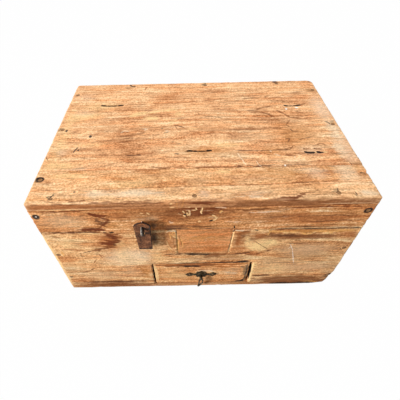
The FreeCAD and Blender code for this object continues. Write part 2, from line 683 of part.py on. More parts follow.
def make_staple():
    """A rod bent to a D outside the rail, with both ends turned up behind it."""
    body = new_body("hasp_staple", "hasp_middle", "-half_depth", "body_height + staple_rise")
    spine = new_sketch(body, MIDDLE_OF_PLATE)
    bend = value("staple_bend")
    behind = value("clench_plane")
    spacing = value("staple_spacing")
    loop_centre = -value("loop_centre")
    lower_end = value("staple_lower_clench")
    upper_end = value("staple_spacing + staple_clench")

    lower_tip = sketch_line(spine, (behind, lower_end), (behind, bend))
    lower_bend = sketch_arc(spine, (behind - bend, bend), bend, -QUARTER, 0)
    lower_leg = sketch_line(spine, (behind - bend, 0), (loop_centre, 0))
    loop = sketch_arc(spine, (loop_centre, spacing / 2), spacing / 2, QUARTER, 3 * QUARTER)
    upper_leg = sketch_line(spine, (loop_centre, spacing), (behind - bend, spacing))
    upper_bend = sketch_arc(spine, (behind - bend, spacing + bend), bend, -QUARTER, 0)
    upper_tip = sketch_line(spine, (behind, spacing + bend), (behind, upper_end))

    joins = [
        (lower_tip, 2, lower_bend, 2), (lower_bend, 1, lower_leg, 1), (lower_leg, 2, loop, 2),
        (loop, 1, upper_leg, 1), (upper_leg, 2, upper_bend, 1), (upper_bend, 2, upper_tip, 1),
    ]
    for join in joins:
        spine.addConstraint(Sketcher.Constraint("Tangent", *join))
    for upright in (lower_tip, upper_tip):
        spine.addConstraint(Sketcher.Constraint("Vertical", upright))
    for level in (lower_leg, upper_leg):
        spine.addConstraint(Sketcher.Constraint("Horizontal", level))
    pin_point(spine, lower_tip, 1, "clench_plane", "staple_lower_clench")
    pin_point(spine, loop, 3, "-loop_centre", "loop_radius")
    dimension(spine, "DistanceY", (-1, 1, lower_leg, 1), "0")
    for arc in (lower_bend, upper_bend):
        dimension(spine, "Radius", (arc,), "staple_bend")
    pin_point(spine, upper_tip, 2, "clench_plane", "staple_spacing + staple_clench")

    section = new_sketch(body, Face("XY_Plane", "staple_lower_clench", False))
    circle(section, "0", "clench_plane", "staple_rod_radius")
    doc.recompute()
    pipe = body.newObject("PartDesign::AdditivePipe", "staple_rod")
    pipe.Profile = section
    pipe.Spine = spine
    body.Tip = pipe


def make_strap():
    """Iron strap with a rounded head, hung by its slot on the staple's upper leg."""
    slot_top = "staple_spacing + staple_rod_radius + hasp_play"
    body = new_body("hasp_strap", "hasp_middle", "-half_depth - hasp_standoff",
                    f"body_height + staple_rise + {slot_top}")
    half_top, half_bottom = "hasp_width_top / 2", "hasp_width_bottom / 2"
    shoulder = "hasp_head - hasp_shoulder"

    def draw(sketch):
        """Straight tapering sides under a head that is one arc."""
        low, high, rise = -value("hasp_drop"), value("hasp_head"), value(shoulder)
        wide, narrow = value(half_top), value(half_bottom)
        right = sketch_line(sketch, (narrow, low), (wide, rise))
        arc = sketch.addGeometry(
            Part.Arc(Vector(wide, rise, 0), Vector(0, high, 0), Vector(-wide, rise, 0)), False)
        left = sketch_line(sketch, (-wide, rise), (-narrow, low))
        foot = sketch_line(sketch, (-narrow, low), (narrow, low))
        joins = [(right, 2, arc, 1), (arc, 2, left, 1), (left, 2, foot, 1), (foot, 2, right, 1)]
        for join in joins:
            sketch.addConstraint(Sketcher.Constraint("Coincident", *join))
        pin_point(sketch, right, 1, half_bottom, "-hasp_drop")
        pin_point(sketch, right, 2, half_top, shoulder)
        pin_point(sketch, left, 1, f"-({half_top})", shoulder)
        pin_point(sketch, left, 2, f"-({half_bottom})", "-hasp_drop")
        crown = sketch.addGeometry(Part.Point(Vector(0, high, 0)), True)
        sketch.addConstraint(Sketcher.Constraint("PointOnObject", crown, 1, arc))
        pin_point(sketch, crown, 1, "0", "hasp_head")

    back = FACE_OF_PLATE
    grow(body, back, "hasp_thickness", draw)
    half_slot = "hasp_slot_width / 2"
    outer = Face("XZ_Plane", "hasp_thickness", True)
    carve(body, outer, "hasp_thickness",
          rectangle(f"-({half_slot})", half_slot, f"-hasp_slot_length + {half_slot}", f"-({half_slot})"))
    for end in (f"-({half_slot})", f"-hasp_slot_length + {half_slot}"):
        carve(body, outer, "hasp_thickness", circles([("0", end)], half_slot))


# The drawer.


def make_drawer():
    """Rebated front, two sides, a back between them and a bottom inside all four."""
    face = Face("XZ_Plane", "-(drawer_face)", True)
    front = board("drawer_front", face, "drawer_left", "drawer_right", "drawer_low", "drawer_high",
                  "drawer_front_thickness")
    lap = moved(face, "drawer_front_thickness - drawer_front_lap")
    rebates = [
        ("drawer_left", "drawer_left + drawer_board"),
        ("drawer_right - drawer_board", "drawer_right"),
    ]
    for left, right in rebates:
        carve(front, lap, "drawer_front_lap", rectangle(left, right, "drawer_low", "drawer_side_top"))

    lap_start = "drawer_face + drawer_front_thickness - drawer_front_lap"
    front_inside = "drawer_face + drawer_front_thickness"
    left_face = Face("YZ_Plane", "drawer_left", False)
    right_face = Face("YZ_Plane", "drawer_right", True)
    side_nails = [
        (along, high)
        for along in (f"{lap_start} + drawer_front_lap / 2", "drawer_rear - drawer_board / 2")
        for high in ("drawer_low + brad_margin", "drawer_side_top - brad_margin")
    ]
    for label, side_face in (("drawer_left_side", left_face), ("drawer_right_side", right_face)):
        side = board(label, side_face, lap_start, "drawer_rear", "drawer_low", "drawer_side_top",
                     "drawer_board")
        bore(side, BRAD, side_face, side_nails)

    rear_face = Face("XZ_Plane", "-(drawer_rear)", False)
    back = board("drawer_back", rear_face, "drawer_left + drawer_board", "drawer_right - drawer_board",
                 "drawer_low", "drawer_side_top", "drawer_board")
    for side_face in (left_face, right_face):
        bore(front, BRAD, side_face, side_nails[:2], with_heads=False)
        bore(back, BRAD, side_face, side_nails[2:], with_heads=False)
    board("drawer_bottom", Face("XY_Plane", "drawer_low", False), "drawer_left + drawer_board",
          "drawer_right - drawer_board", front_inside, "drawer_rear - drawer_board",
          "drawer_bottom_thickness")

    nails = new_body("drawer_nails")
    drive(nails, BRAD, left_face, side_nails)
    drive(nails, BRAD, right_face, side_nails)

    pull_centre = [("pull_x", "pull_z")]
    carve(front, face, "drawer_front_thickness", circles(pull_centre, "post_radius + nail_fit"))
    plate_outside = moved(face, "-plate_thickness")
    tacks = [("pull_x - lobe_middle", "pull_z"), ("pull_x + lobe_middle", "pull_z")]
    bore(front, TACK, plate_outside, tacks, with_heads=False)
    pull_nails = new_body("pull_nails")
    drive(pull_nails, TACK, plate_outside, tacks)


# The drop pull. Its pieces are drawn from the middle of the plate, on the drawer's face.


def pull_body(label, reach="0"):
    """A body placed at the pull, standing out from the drawer's face by reach."""
    return new_body(label, "pull_x", f"drawer_face - ({reach})", "pull_z")


def make_pull_plate():
    """Cast plate: a round middle with petals and a boss, and a leaf-shaped lobe at each end."""
    body = pull_body("pull_plate")
    thickness = "plate_thickness"
    grow(body, FACE_OF_PLATE, thickness, circles([("0", "0")], "plate_disc_radius"))
    petal = grow(body, FACE_OF_PLATE, thickness, circles([("0", "plate_disc_radius")], "petal_radius"))
    petals = body.newObject("PartDesign::PolarPattern", "petals")
    petals.Originals = [petal]
    petals.Axis = (petal.Profile[0], ["N_Axis"])
    petals.Angle = 360
    petals.setExpression("Occurrences", formula("petal_count"))
    body.Tip = petals

    tip, half_height = "plate_span / 2", "lobe_height / 2"
    lobe_root = f"{tip} - lobe_length"
    lobe_corners = [
        (lobe_root, "-neck_height / 2"),
        ("lobe_middle", f"-({half_height})"),
        (tip, "-lobe_tip / 2"),
        (tip, "lobe_tip / 2"),
        ("lobe_middle", half_height),
        (lobe_root, "neck_height / 2"),
    ]
    lobe = grow(body, FACE_OF_PLATE, thickness, lambda sketch: outline(sketch, lobe_corners))
    neck_outline = rectangle("plate_disc_radius", lobe_root, "-neck_height / 2", "neck_height / 2")
    neck = grow(body, FACE_OF_PLATE, thickness, neck_outline)
    pair = body.newObject("PartDesign::Mirrored", "left_half")
    pair.Originals = [lobe, neck]
    pair.MirrorPlane = (lobe.Profile[0], ["V_Axis"])
    body.Tip = pair

    plate_front = Face("XZ_Plane", thickness, False)
    grow(body, plate_front, "boss_height", circles([("0", "0")], "boss_radius"))
    outside = Face("XZ_Plane", f"{thickness} + boss_height", True)
    carve(body, outside, f"{thickness} + boss_height", circles([("0", "0")], "post_radius + nail_fit"))
    bore(body, TACK, Face("XZ_Plane", thickness, True), [("-lobe_middle", "0"), ("lobe_middle", "0")])


def make_pull_post():
    """Post with a forked round end outside and a riveted head inside the drawer."""
    body = pull_body("pull_post")
    inner_end = "drawer_front_thickness + washer_thickness"
    outer_end = "post_reach + post_radius"
    shank = circles([("0", "0")], "post_radius")
    grow(body, Face("XZ_Plane", f"-({inner_end})", False), f"{outer_end} + {inner_end}", shank)
    round_over(body, ["-(post_reach + post_radius)"], "post_round")
    rivet = circles([("0", "0")], "rivet_radius")
    grow(body, Face("XZ_Plane", f"-({inner_end})", True), "rivet_thickness", rivet)
    fork = rectangle("-post_slot / 2", "post_slot / 2", "-2 * post_radius", "2 * post_radius")
    carve(body, Face("XZ_Plane", outer_end, True), "2 * post_radius + drop_play", fork)
    pin_hole = circles([("-post_reach", "0")], "pull_pin_radius + nail_fit")
    carve(body, Face("YZ_Plane", "-2 * post_radius", False), "4 * post_radius", pin_hole)


def make_pull_pin():
    """Pin across the post's fork, through the drop's eye."""
    body = pull_body("pull_pin", "post_reach")
    grow(body, Face("YZ_Plane", "-post_radius", False), "2 * post_radius",
         circles([("0", "0")], "pull_pin_radius"))


def make_pull_washer():
    """Washer under the post's riveted end."""
    body = pull_body("pull_washer", "-drawer_front_thickness")
    behind = turned(FACE_OF_PLATE)
    grow(body, behind, "washer_thickness", circles([("0", "0")], "washer_radius"))
    carve(body, behind, "washer_thickness", circles([("0", "0")], "post_radius + nail_fit"))


# Rows down the drop's loop: share of the length below the pin, share of the lean, and half the loop's
# width there as a share of drop_width. The opening takes the rows that leave it any width.
DROP_ROWS = [(0.17, 0, 0.40), (0.33, 0, 0.53), (0.60, 0.15, 0.48), (0.80, 0.55, 0.34), (0.95, 1, 0.22)]
OPENING_ROWS = DROP_ROWS[1:4]


def drop_side(rows, side, inset):
    """Corners down one side of the loop, inset from its outer edge."""
    return [
        (f"-{lean} * drop_lean {side} ({half} * drop_width - {inset})", f"-{down} * drop_length")
        for down, lean, half in rows
    ]


def make_pull_drop():
    """Open loop that leans to the left, under a flat eye that turns on the pin."""
    body = pull_body("pull_drop", "post_reach")
    shoulder = "-(post_radius + drop_play)"
    half_tongue = "tongue_width / 2"
    right, left = drop_side(DROP_ROWS, "+", "0"), drop_side(DROP_ROWS, "-", "0")
    tip = ("-drop_lean", "-drop_length")
    outer = [(f"-{half_tongue}", shoulder), (half_tongue, shoulder), *right, tip, *reversed(left)]
    right, left = (drop_side(OPENING_ROWS, side, "drop_wall") for side in "+-")
    inner = [("0", f"{shoulder} - drop_crown"), *right, *reversed(left)]
    face = Face("XZ_Plane", "drop_thickness / 2", True)
    grow(body, face, "drop_thickness", lambda sketch: outline(sketch, outer))
    carve(body, face, "drop_thickness", lambda sketch: outline(sketch, inner))
    round_over(body, ["drop_thickness / 2", "-drop_thickness / 2"], "drop_edge")
    tongue = Face("YZ_Plane", f"-({half_tongue})", False)
    grow(body, tongue, "tongue_width", circles([("0", "0")], "tongue_radius"))
    grow(body, tongue, "tongue_width",
         rectangle("-drop_thickness / 2 + drop_edge", "drop_thickness / 2 - drop_edge",
                   f"{shoulder} - drop_crown / 2", "0"))
    carve(body, tongue, "tongue_width", circles([("0", "0")], "pull_pin_radius + nail_fit"))


def check_and_export():
    """Stop on a failed object or a bad shape, then write one STEP file for each node."""
    for item in doc.Objects:
        bad = [state for state in item.State if state in ("Invalid", "Error")]
        if bad:
            raise RuntimeError(f"{item.Label} is {bad}")
    for body in nodes:
        shape = body.Shape
        if shape.isNull() or not shape.isValid() or shape.Volume <= 0:
            raise RuntimeError(f"{body.Label} has no valid shape")
    os.makedirs("parts", exist_ok=True)
    for body in nodes:
        body.Shape.exportStep(f"parts/{body.Label}.step")
        print(f"{body.Label}: {len(body.Shape.Solids)} solids, {body.Shape.Volume / CUBIC_MM_IN_CM3:.2f} cm3")


def main():
    """Build every sub-part, then check and write them."""
    fill_sheet()
    make_bottom_board()
    make_front_board()
    make_front_patch()
    make_back_board()
    make_side_board("left_side_board", LEFT, LEFT_CORNER_NAILS, LEFT_BOTTOM_NAILS)
    make_side_board("right_side_board", RIGHT, RIGHT_CORNER_NAILS, RIGHT_BOTTOM_NAILS)
    make_compartment()
    make_body_nails()
    make_top_boards()
    make_lid_rails()
    make_lid_nails()
    for name, side in (("left", "-"), ("right", "")):
        make_hinge_leaf(f"{name}_hinge_lower_leaf", side, lower=True)
        make_hinge_leaf(f"{name}_hinge_upper_leaf", side, lower=False)
    make_hinge_pins()
    make_hinge_screws("lower_hinge_screws", "-")
    make_hinge_screws("upper_hinge_screws", "+")
    make_staple()
    make_strap()
    make_drawer()
    make_pull_plate()
    make_pull_post()
    make_pull_pin()
    make_pull_washer()
    make_pull_drop()
    doc.recompute()
    check_and_export()


main()
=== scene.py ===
"""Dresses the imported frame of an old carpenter's tool chest: worn boards, forged iron and a cast brass pull."""

import logging
import math
from dataclasses import dataclass, field, replace
from enum import Enum

import bmesh
import bpy
from mathutils import Matrix, Vector, kdtree, noise


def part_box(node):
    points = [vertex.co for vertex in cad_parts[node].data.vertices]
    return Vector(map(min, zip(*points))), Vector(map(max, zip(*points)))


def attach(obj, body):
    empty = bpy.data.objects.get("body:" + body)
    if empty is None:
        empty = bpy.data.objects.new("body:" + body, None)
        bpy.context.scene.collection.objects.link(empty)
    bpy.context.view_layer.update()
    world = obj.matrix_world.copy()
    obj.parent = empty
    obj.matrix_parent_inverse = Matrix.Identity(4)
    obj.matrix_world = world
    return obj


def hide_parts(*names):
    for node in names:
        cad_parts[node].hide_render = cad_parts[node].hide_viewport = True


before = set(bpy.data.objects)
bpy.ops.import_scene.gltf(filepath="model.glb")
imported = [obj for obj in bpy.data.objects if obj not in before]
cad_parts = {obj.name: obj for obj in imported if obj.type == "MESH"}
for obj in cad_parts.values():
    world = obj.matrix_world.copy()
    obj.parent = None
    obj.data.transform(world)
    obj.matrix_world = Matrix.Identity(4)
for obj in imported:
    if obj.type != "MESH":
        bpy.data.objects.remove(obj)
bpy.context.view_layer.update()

Socket = bpy.types.NodeSocket
Tree = bpy.types.NodeTree
Pair = tuple[float, float]
Triple = tuple[float, float, float]
Colour = tuple[float, float, float, float]

LOG = logging.getLogger("tool_chest")
MM = 0.001
# A material that holds more marks than this comes out black, so a board is dressed in stretches.
MOST_MARKS = 100
# How far a mark shows past its own size: the grain frays its edge, and it fades out over FADE millimetres.
FRAYED_REACH = 1.7
EVEN_REACH = 1.2
FADE = 16.0
# The parts of a bent line reach this share of their length from their middle, and more by their half width.
PART_REACH = 0.56
BEND_REACH = 0.6
# A face within this many millimetres of a board's side is level with it.
LEVEL = 0.01
# The year rings' wave repeats every 0.314 of its unit, and they count this much in the wood's tone.
RING_REPEAT = 0.314
RING_WEIGHT = 0.22
# How far in and out of their face the marks on fittings, which stand proud of the wood, and in gaps reach.
DEEP = 30.0


class Axis(Enum):
    """The chest's own directions: X to its right, Y to its back, Z up."""

    X = 0
    Y = 1
    Z = 2


class Plane(Enum):
    """The face that a mark lies on: the two axes its place is given along, and how far out the face stands."""

    TOP = (0, 1, 300.0)
    FRONT = (0, 2, -205.0)


class Tint(Enum):
    """The colours that dirt, wear and age give the wood, and the colours of the painted shadows and highlights laid
    among them.
    """

    SOOT_AND_SHADE = "#33261f"
    COAL_AND_SHADOW = "#4c3f36"
    CRACK_AND_SHADE = "#6a4029"
    STAIN = "#783b1d"
    UMBER = "#8a532e"
    GREY = "#8c7656"
    RUST = "#b06b3b"
    ORANGE = "#bf7038"
    CLAY = "#b98557"
    HONEY = "#cb8a4c"
    SAND = "#dcae82"
    GOLD = "#eeb068"
    STRAW = "#fccf92"
    PINK = "#f2c8a2"
    BUTTER = "#ffd596"
    CREAM = "#f6d8b2"
    CHALK_AND_HIGHLIGHT = "#fbeede"


(SOOT_AND_SHADE, COAL_AND_SHADOW, CRACK_AND_SHADE, STAIN, UMBER, GREY, RUST, ORANGE, CLAY, HONEY, SAND, GOLD, STRAW, PINK, BUTTER, CREAM,
 CHALK_AND_HIGHLIGHT) = Tint


def linear(colour: str, alpha: float = 1.0) -> Colour:
    """Turns an sRGB hex value to the linear colour that the shaders take.

    Args:
        colour: the value as "#rrggbb".
        alpha: the fourth number.

    Returns:
        Red, green, blue and alpha, linear.
    """
    parts = [int(colour[i : i + 2], 16) / 255 for i in (1, 3, 5)]
    turned = [c / 12.92 if c <= 0.04045 else ((c + 0.055) / 1.055) ** 2.4 for c in parts]
    return (turned[0], turned[1], turned[2], alpha)


def add(tree: Tree, kind: str, links: dict | None = None,
        stops: list[tuple[float, str]] | None = None, **settings) -> bpy.types.Node:
    """Adds a node with its settings and links.

    Args:
        tree: the tree that it goes in.
        kind: the node's type, without the ShaderNode that it begins with.
        links: by input name or number, another node's socket or a plain value.
        stops: for a colour ramp, the place and hex colour of each stop in order.
        settings: the node's own properties, set before its inputs.

    Returns:
        The new node.
    """
    node = tree.nodes.new(f"ShaderNode{kind}")
    for name, value in settings.items():
        setattr(node, name, value)
    for key, value in (links or {}).items():
        if isinstance(value, Socket):
            tree.links.new(value, node.inputs[key])
        else:
            node.inputs[key].default_value = value
    for k, (place, colour) in enumerate(stops or []):
        elements = node.color_ramp.elements
        element = elements[k] if k < len(elements) else elements.new(1.0)
        element.position = place
        element.color = linear(colour)
    return node


def cleared(owner: bpy.types.Material | bpy.types.World) -> Tree:
    """Turns on the nodes of a material or world and takes out the ones that it starts with.

    Args:
        owner: the material or world.

    Returns:
        Its empty tree.
    """
    owner.use_nodes = True
    owner.node_tree.nodes.clear()
    return owner.node_tree


@dataclass(frozen=True)
class Mark:
    """A stain, scratch or worn place, or a painted shadow or highlight, put where it is by its millimetres on a face.
    """

    tint: Tint
    at: Pair
    size: Pair
    strength: float = 0.9
    turn: float = 0.0
    soft: float = 0.4
    frayed: bool = True
    depth: float = 12.0

    def meets(self, low: float, high: float) -> bool:
        """Says whether the mark can show between two places along its face's first axis."""
        reach = max(self.size) * (FRAYED_REACH if self.frayed else EVEN_REACH) + FADE
        return low - reach < self.at[0] < high + reach

    def lay(self, tree: Tree, face: Plane, place: dict[bool, Socket], fibres: Socket, colour: Socket) -> Socket:
        """Lays the mark over a colour.

        Args:
            tree: the material's tree.
            face: the face it lies on.
            place: coordinates in millimetres, even under False and frayed along the grain under True.
            fibres: the fibres' noise about 0, which breaks a frayed mark's edge into streaks.
            colour: the colour so far.

        Returns:
            The socket of the colour with the mark on it.
        """
        u, v, level = face.value
        along, across, out, centre = Vector(), Vector(), Vector(), Vector()
        turn = math.radians(self.turn)
        along[u], along[v] = math.cos(turn) / self.size[0], math.sin(turn) / self.size[0]
        across[u], across[v] = -math.sin(turn) / self.size[1], math.cos(turn) / self.size[1]
        out[3 - u - v] = 1 / self.depth
        centre[u], centre[v], centre[3 - u - v] = *self.at, level
        # Only vector maths: the few nodes of each mark are then worked out and let go before the next mark's.
        rows = (along, across, out)
        parts = [add(tree, "VectorMath", {0: place[self.frayed], 1: row},
                     operation="DOT_PRODUCT").outputs["Value"] for row in rows]
        local = add(tree, "CombineXYZ", dict(enumerate(parts)))
        away = add(tree, "VectorMath", {0: local.outputs[0], 1: [row.dot(centre) for row in rows]},
                   operation="DISTANCE").outputs["Value"]
        if self.frayed:
            away = add(tree, "Math", {0: fibres, 1: away}, operation="ADD").outputs[0]
        mask = add(tree, "MapRange", {"Value": away, "From Min": 1.0 + self.soft / 3,
                                      "From Max": 1.0 - self.soft, "To Min": 0.0,
                                      "To Max": self.strength}, interpolation_type="SMOOTHSTEP")
        return add(tree, "Mix", {0: mask.outputs[0], 6: colour, 7: linear(self.tint.value)},
                   data_type="RGBA").outputs[2]


def trail(tint: Tint, half: float, strength: float, *points: Pair, soft: float = 0.4,
          frayed: bool = True, depth: float = 12.0) -> tuple[Mark, ...]:
    """Lays marks end to end along a bent line, each a little longer than its part so that they join.

    Args:
        tint: their colour.
        half: half the line's width, in millimetres.
        strength: how much they cover.
        points: the line's bends, in millimetres on the face.
        soft: how soft their edges are.
        frayed: whether the grain breaks their edges.
        depth: how far in and out of the face they reach, in millimetres.

    Returns:
        The marks.
    """
    marks = []
    for (u0, v0), (u1, v1) in zip(points, points[1:]):
        reach = math.hypot(u1 - u0, v1 - v0) * PART_REACH + half * BEND_REACH
        marks.append(Mark(tint, ((u0 + u1) / 2, (v0 + v1) / 2), (reach, half), strength,
                          math.degrees(math.atan2(v1 - v0, u1 - u0)), soft, frayed, depth))
    return tuple(marks)


def wash(tint: Tint, at: Pair, size: Pair, strength: float, turn: float = 0.0) -> Mark:
    """Gives a broad change of tone that has hardly an edge, as damp, sun and hands leave on wood."""
    return Mark(tint, at, size, strength, turn, soft=0.85)


def scratch(tint: Tint, half: float, strength: float, *points: Pair) -> tuple[Mark, ...]:
    """Gives a line that runs over the grain and isn't broken by it, as a scratch or a worm's track does; it also lays
    painted shade and light along arrises.
    """
    return trail(tint, half, strength, *points, frayed=False)


def crack(tint: Tint, half: float, strength: float, *points: Pair) -> tuple[Mark, ...]:
    """Gives a line with a sharp edge, as a crack, a cut or an open seam has; it also lays painted shade and light
    along arrises.
    """
    return trail(tint, half, strength, *points, soft=0.3, frayed=False)


def metal_line(tint: Tint, half: float, strength: float, *points: Pair, soft: float = 0.5) -> tuple[Mark, ...]:
    """Gives a line of scale, rust, painted shadow or painted highlight on a fitting, which stands proud of the wood's
    face.
    """
    return trail(tint, half, strength, *points, soft=soft, frayed=False, depth=DEEP)


@dataclass(frozen=True)
class Layer:
    """One layer of the wood's figure: how large its noise is along and across the grain, and how much it counts."""

    along: float
    across: float
    weight: float
    detail: float = 3.0
    roughness: float = 0.55


@dataclass(frozen=True)
class Timber:
    """Old teak, sawn and nailed and left dry: honey brown, open straight grain that stands up in ridges, matt."""

    name: str
    grain: Axis
    deep: str = "#8a4f2c"
    dark: str = "#c17f4d"
    body: str = "#eaae7b"
    pale: str = "#fbcc99"
    bleached: str = "#ffe2b6"
    ring: float = 11.0
    heart: Pair = (40.0, -90.0)
    tilt: float = 1.5
    seed: float = 0.0
    shade: float = 0.0
    contrast: float = 1.0
    grit: float = 0.34
    rubbed: float = 1.0
    marks: dict[Plane, tuple[Mark, ...]] = field(default_factory=dict)
    # Millimetres. The fibres are drawn twice as coarse as they are, and the grit too, so that they show.
    layers: tuple[Layer, ...] = (Layer(200.0, 8.0, 0.42), Layer(20.0, 3.6, 0.36, 3.0, 0.6),
                                 Layer(3.6, 3.0, 0.7, 2.0), Layer(80.0, 36.0, 0.72, 4.0))

    def stretch(self, low: float, high: float) -> "Timber":
        """Gives the same wood with the marks of one stretch of the board alone.

        Args:
            low: where the stretch begins along the board, in millimetres.
            high: where it ends.

        Returns:
            The wood.
        """
        near = {face: tuple(m for m in marks if m.meets(low, high)) for face, marks in self.marks.items()}
        return replace(self, name=f"{self.name}_at_{round(low)}", marks=near)

    def coordinates(self, tree: Tree) -> tuple[Socket, Socket]:
        """Sets up the coordinates.

        Args:
            tree: the material's tree.

        Returns:
            Millimetres in the chest's frame, and millimetres with the grain along x, wandering slowly.
        """
        place = add(tree, "TexCoord")
        mm = add(tree, "VectorMath", {0: place.outputs["Object"], "Scale": 1000.0}, operation="SCALE")
        turned = {Axis.X: (0, 0, 0), Axis.Y: (0, 0, math.pi / 2), Axis.Z: (0, math.pi / 2, 0)}[self.grain]
        along = add(tree, "Mapping", {"Vector": mm.outputs[0], "Rotation": turned,
                                      "Location": (self.seed * 37, self.seed * 11, self.seed * 5)})
        slow = add(tree, "Mapping", {"Vector": along.outputs[0], "Scale": (1 / 250, 1 / 60, 1 / 60)})
        wander = add(tree, "TexNoise", {"Vector": slow.outputs[0], "Scale": 1.0, "Detail": 2.0})
        middle = add(tree, "VectorMath", {0: wander.outputs["Color"], 1: (0.5, 0.5, 0.5)}, operation="SUBTRACT")
        sway = add(tree, "VectorMath", {0: middle.outputs[0], 1: (0.0, 30.0, 30.0)}, operation="MULTIPLY")
        bent = add(tree, "VectorMath", {0: along.outputs[0], 1: sway.outputs[0]})
        return mm.outputs[0], bent.outputs[0]

    def figure(self, tree: Tree, grain: Socket) -> tuple[Socket, list[Socket]]:
        """Builds the wood's light and dark.

        Args:
            tree: the material's tree.
            grain: the grain's coordinates.

        Returns:
            The tone, 0 dark to 1 pale, and the layers' own noises.
        """
        # Year rings about the log's heart.
        log = add(tree, "Mapping", {"Vector": grain, "Location": (0, *self.heart),
                                    "Rotation": (0, math.radians(self.tilt), math.radians(self.tilt))})
        rings = add(tree, "TexWave", {"Vector": log.outputs[0], "Scale": RING_REPEAT / self.ring,
                                      "Distortion": 1.6, "Detail": 2.0, "Detail Scale": 0.04},
                    wave_type="RINGS", rings_direction="X", wave_profile="SAW")
        ring_weight = RING_WEIGHT * self.contrast
        total = sum(layer.weight for layer in self.layers) * self.contrast / 2 + ring_weight / 2
        tone = add(tree, "Math", {0: rings.outputs["Fac"], 1: -ring_weight,
                                  2: 0.5 + self.shade + ring_weight - total + ring_weight / 2},
                   operation="MULTIPLY_ADD").outputs[0]
        noises = []
        for layer in self.layers:
            size = add(tree, "Mapping", {"Vector": grain, "Scale": (1 / layer.along, 1 / layer.across,
                                                                    1 / layer.across)})
            cloud = add(tree, "TexNoise", {"Vector": size.outputs[0], "Scale": 1.0,
                                           "Detail": layer.detail, "Roughness": layer.roughness})
            tone = add(tree, "Math", {0: cloud.outputs["Fac"], 1: layer.weight * self.contrast, 2: tone},
                       operation="MULTIPLY_ADD").outputs[0]
            noises.append(cloud.outputs["Fac"])
        return tone, noises

    def veins(self, tree: Tree, grain: Socket) -> Socket:
        """Builds the thin dark lines of latewood and fine drying cracks, some 240 mm long.

        Args:
            tree: the material's tree.
            grain: the grain's coordinates.

        Returns:
            The mask, 1 in a line.
        """
        size = add(tree, "Mapping", {"Vector": grain, "Scale": (1 / 240, 1 / 22, 1 / 22),
                                     "Location": (3.1, 7.7, 1.3)})
        cloud = add(tree, "TexNoise", {"Vector": size.outputs[0], "Scale": 1.0, "Detail": 2.5})
        middle = add(tree, "Math", {0: cloud.outputs["Fac"], 1: 0.5}, operation="SUBTRACT")
        away = add(tree, "Math", {0: middle.outputs[0]}, operation="ABSOLUTE")
        return add(tree, "MapRange", {"Value": away.outputs[0], "From Min": 0.03, "From Max": 0.006,
                                      "To Max": 0.36}).outputs[0]

    def frayed(self, tree: Tree, mm: Socket, grain: Socket) -> dict[bool, Socket]:
        """Frays the marks' coordinates, by some 6 mm along the grain and 2 mm across it, or by a twelfth of that.

        Args:
            tree: the material's tree.
            mm: coordinates in millimetres.
            grain: the grain's coordinates.

        Returns:
            The frayed coordinates under True, and the nearly even ones under False.
        """
        size = add(tree, "Mapping", {"Vector": grain, "Scale": (1 / 16, 1 / 5, 1 / 5)})
        fray = add(tree, "TexNoise", {"Vector": size.outputs[0], "Scale": 1.0, "Detail": 3.0})
        off = add(tree, "VectorMath", {0: fray.outputs["Color"], 1: (0.5, 0.5, 0.5)}, operation="SUBTRACT")
        push = {Axis.X: (30.0, 9.0, 9.0), Axis.Y: (9.0, 30.0, 9.0), Axis.Z: (9.0, 9.0, 30.0)}[self.grain]
        return {full: add(tree, "VectorMath", {0: off.outputs[0], 1: Vector(push) / (1 if full else 12),
                                               2: mm}, operation="MULTIPLY_ADD").outputs[0]
                for full in (False, True)}

    def clean_colour(self, tree: Tree, grain: Socket, tone: Socket, veins: Socket) -> Socket:
        """Colours the wood before any mark is on it.

        Args:
            tree: the material's tree.
            grain: the grain's coordinates.
            tone: the tone, 0 dark to 1 pale.
            veins: the mask of the thin dark lines.

        Returns:
            The colour.
        """
        tones = [(0.08, self.deep), (0.32, self.dark), (0.52, self.body), (0.74, self.pale), (0.98, self.bleached)]
        colour = add(tree, "ValToRGB", {"Fac": tone}, tones).outputs[0]
        colour = add(tree, "Mix", {0: veins, 6: colour, 7: linear(self.deep)}, data_type="RGBA").outputs[2]
        # Some places are redder than others, by patches some 60 mm long.
        patches = add(tree, "Mapping", {"Vector": grain, "Scale": (1 / 60, 1 / 14, 1 / 14),
                                        "Location": (5.3, 2.9, 8.1)})
        patchy = add(tree, "TexNoise", {"Vector": patches.outputs[0], "Scale": 1.0, "Detail": 4.0})
        warmth = add(tree, "MapRange", {"Value": patchy.outputs["Fac"], "From Min": 0.4, "From Max": 0.7,
                                        "To Max": 0.42})
        return add(tree, "Mix", {0: warmth.outputs[0], 6: colour, 7: linear("#ffc890")},
                   data_type="RGBA", blend_type="MULTIPLY").outputs[2]

    def marked(self, tree: Tree, mm: Socket, grain: Socket, streaks: Socket, colour: Socket) -> Socket:
        """Lays the marks over the clean wood, the first of them lowest.

        Args:
            tree: the material's tree.
            mm: coordinates in millimetres.
            grain: the grain's coordinates.
            streaks: the noise of the grain's streaks, about a half.
            colour: the clean wood's colour.

        Returns:
            The colour with its marks.
        """
        place = self.frayed(tree, mm, grain)
        fibres = add(tree, "Math", {0: streaks, 1: 1.1, 2: -0.55}, operation="MULTIPLY_ADD").outputs[0]
        for face, marks in self.marks.items():
            for mark in marks:
                colour = mark.lay(tree, face, place, fibres, colour)
        return colour

    def material(self) -> bpy.types.Material:
        """Builds the wood's material.

        Returns:
            The material.
        """
        material = bpy.data.materials.new(self.name)
        tree = cleared(material)
        mm, grain = self.coordinates(tree)
        tone, (_, streaks, fibres, _) = self.figure(tree, grain)
        veins = self.veins(tree, grain)
        colour = self.marked(tree, mm, grain, streaks, self.clean_colour(tree, grain, tone, veins))
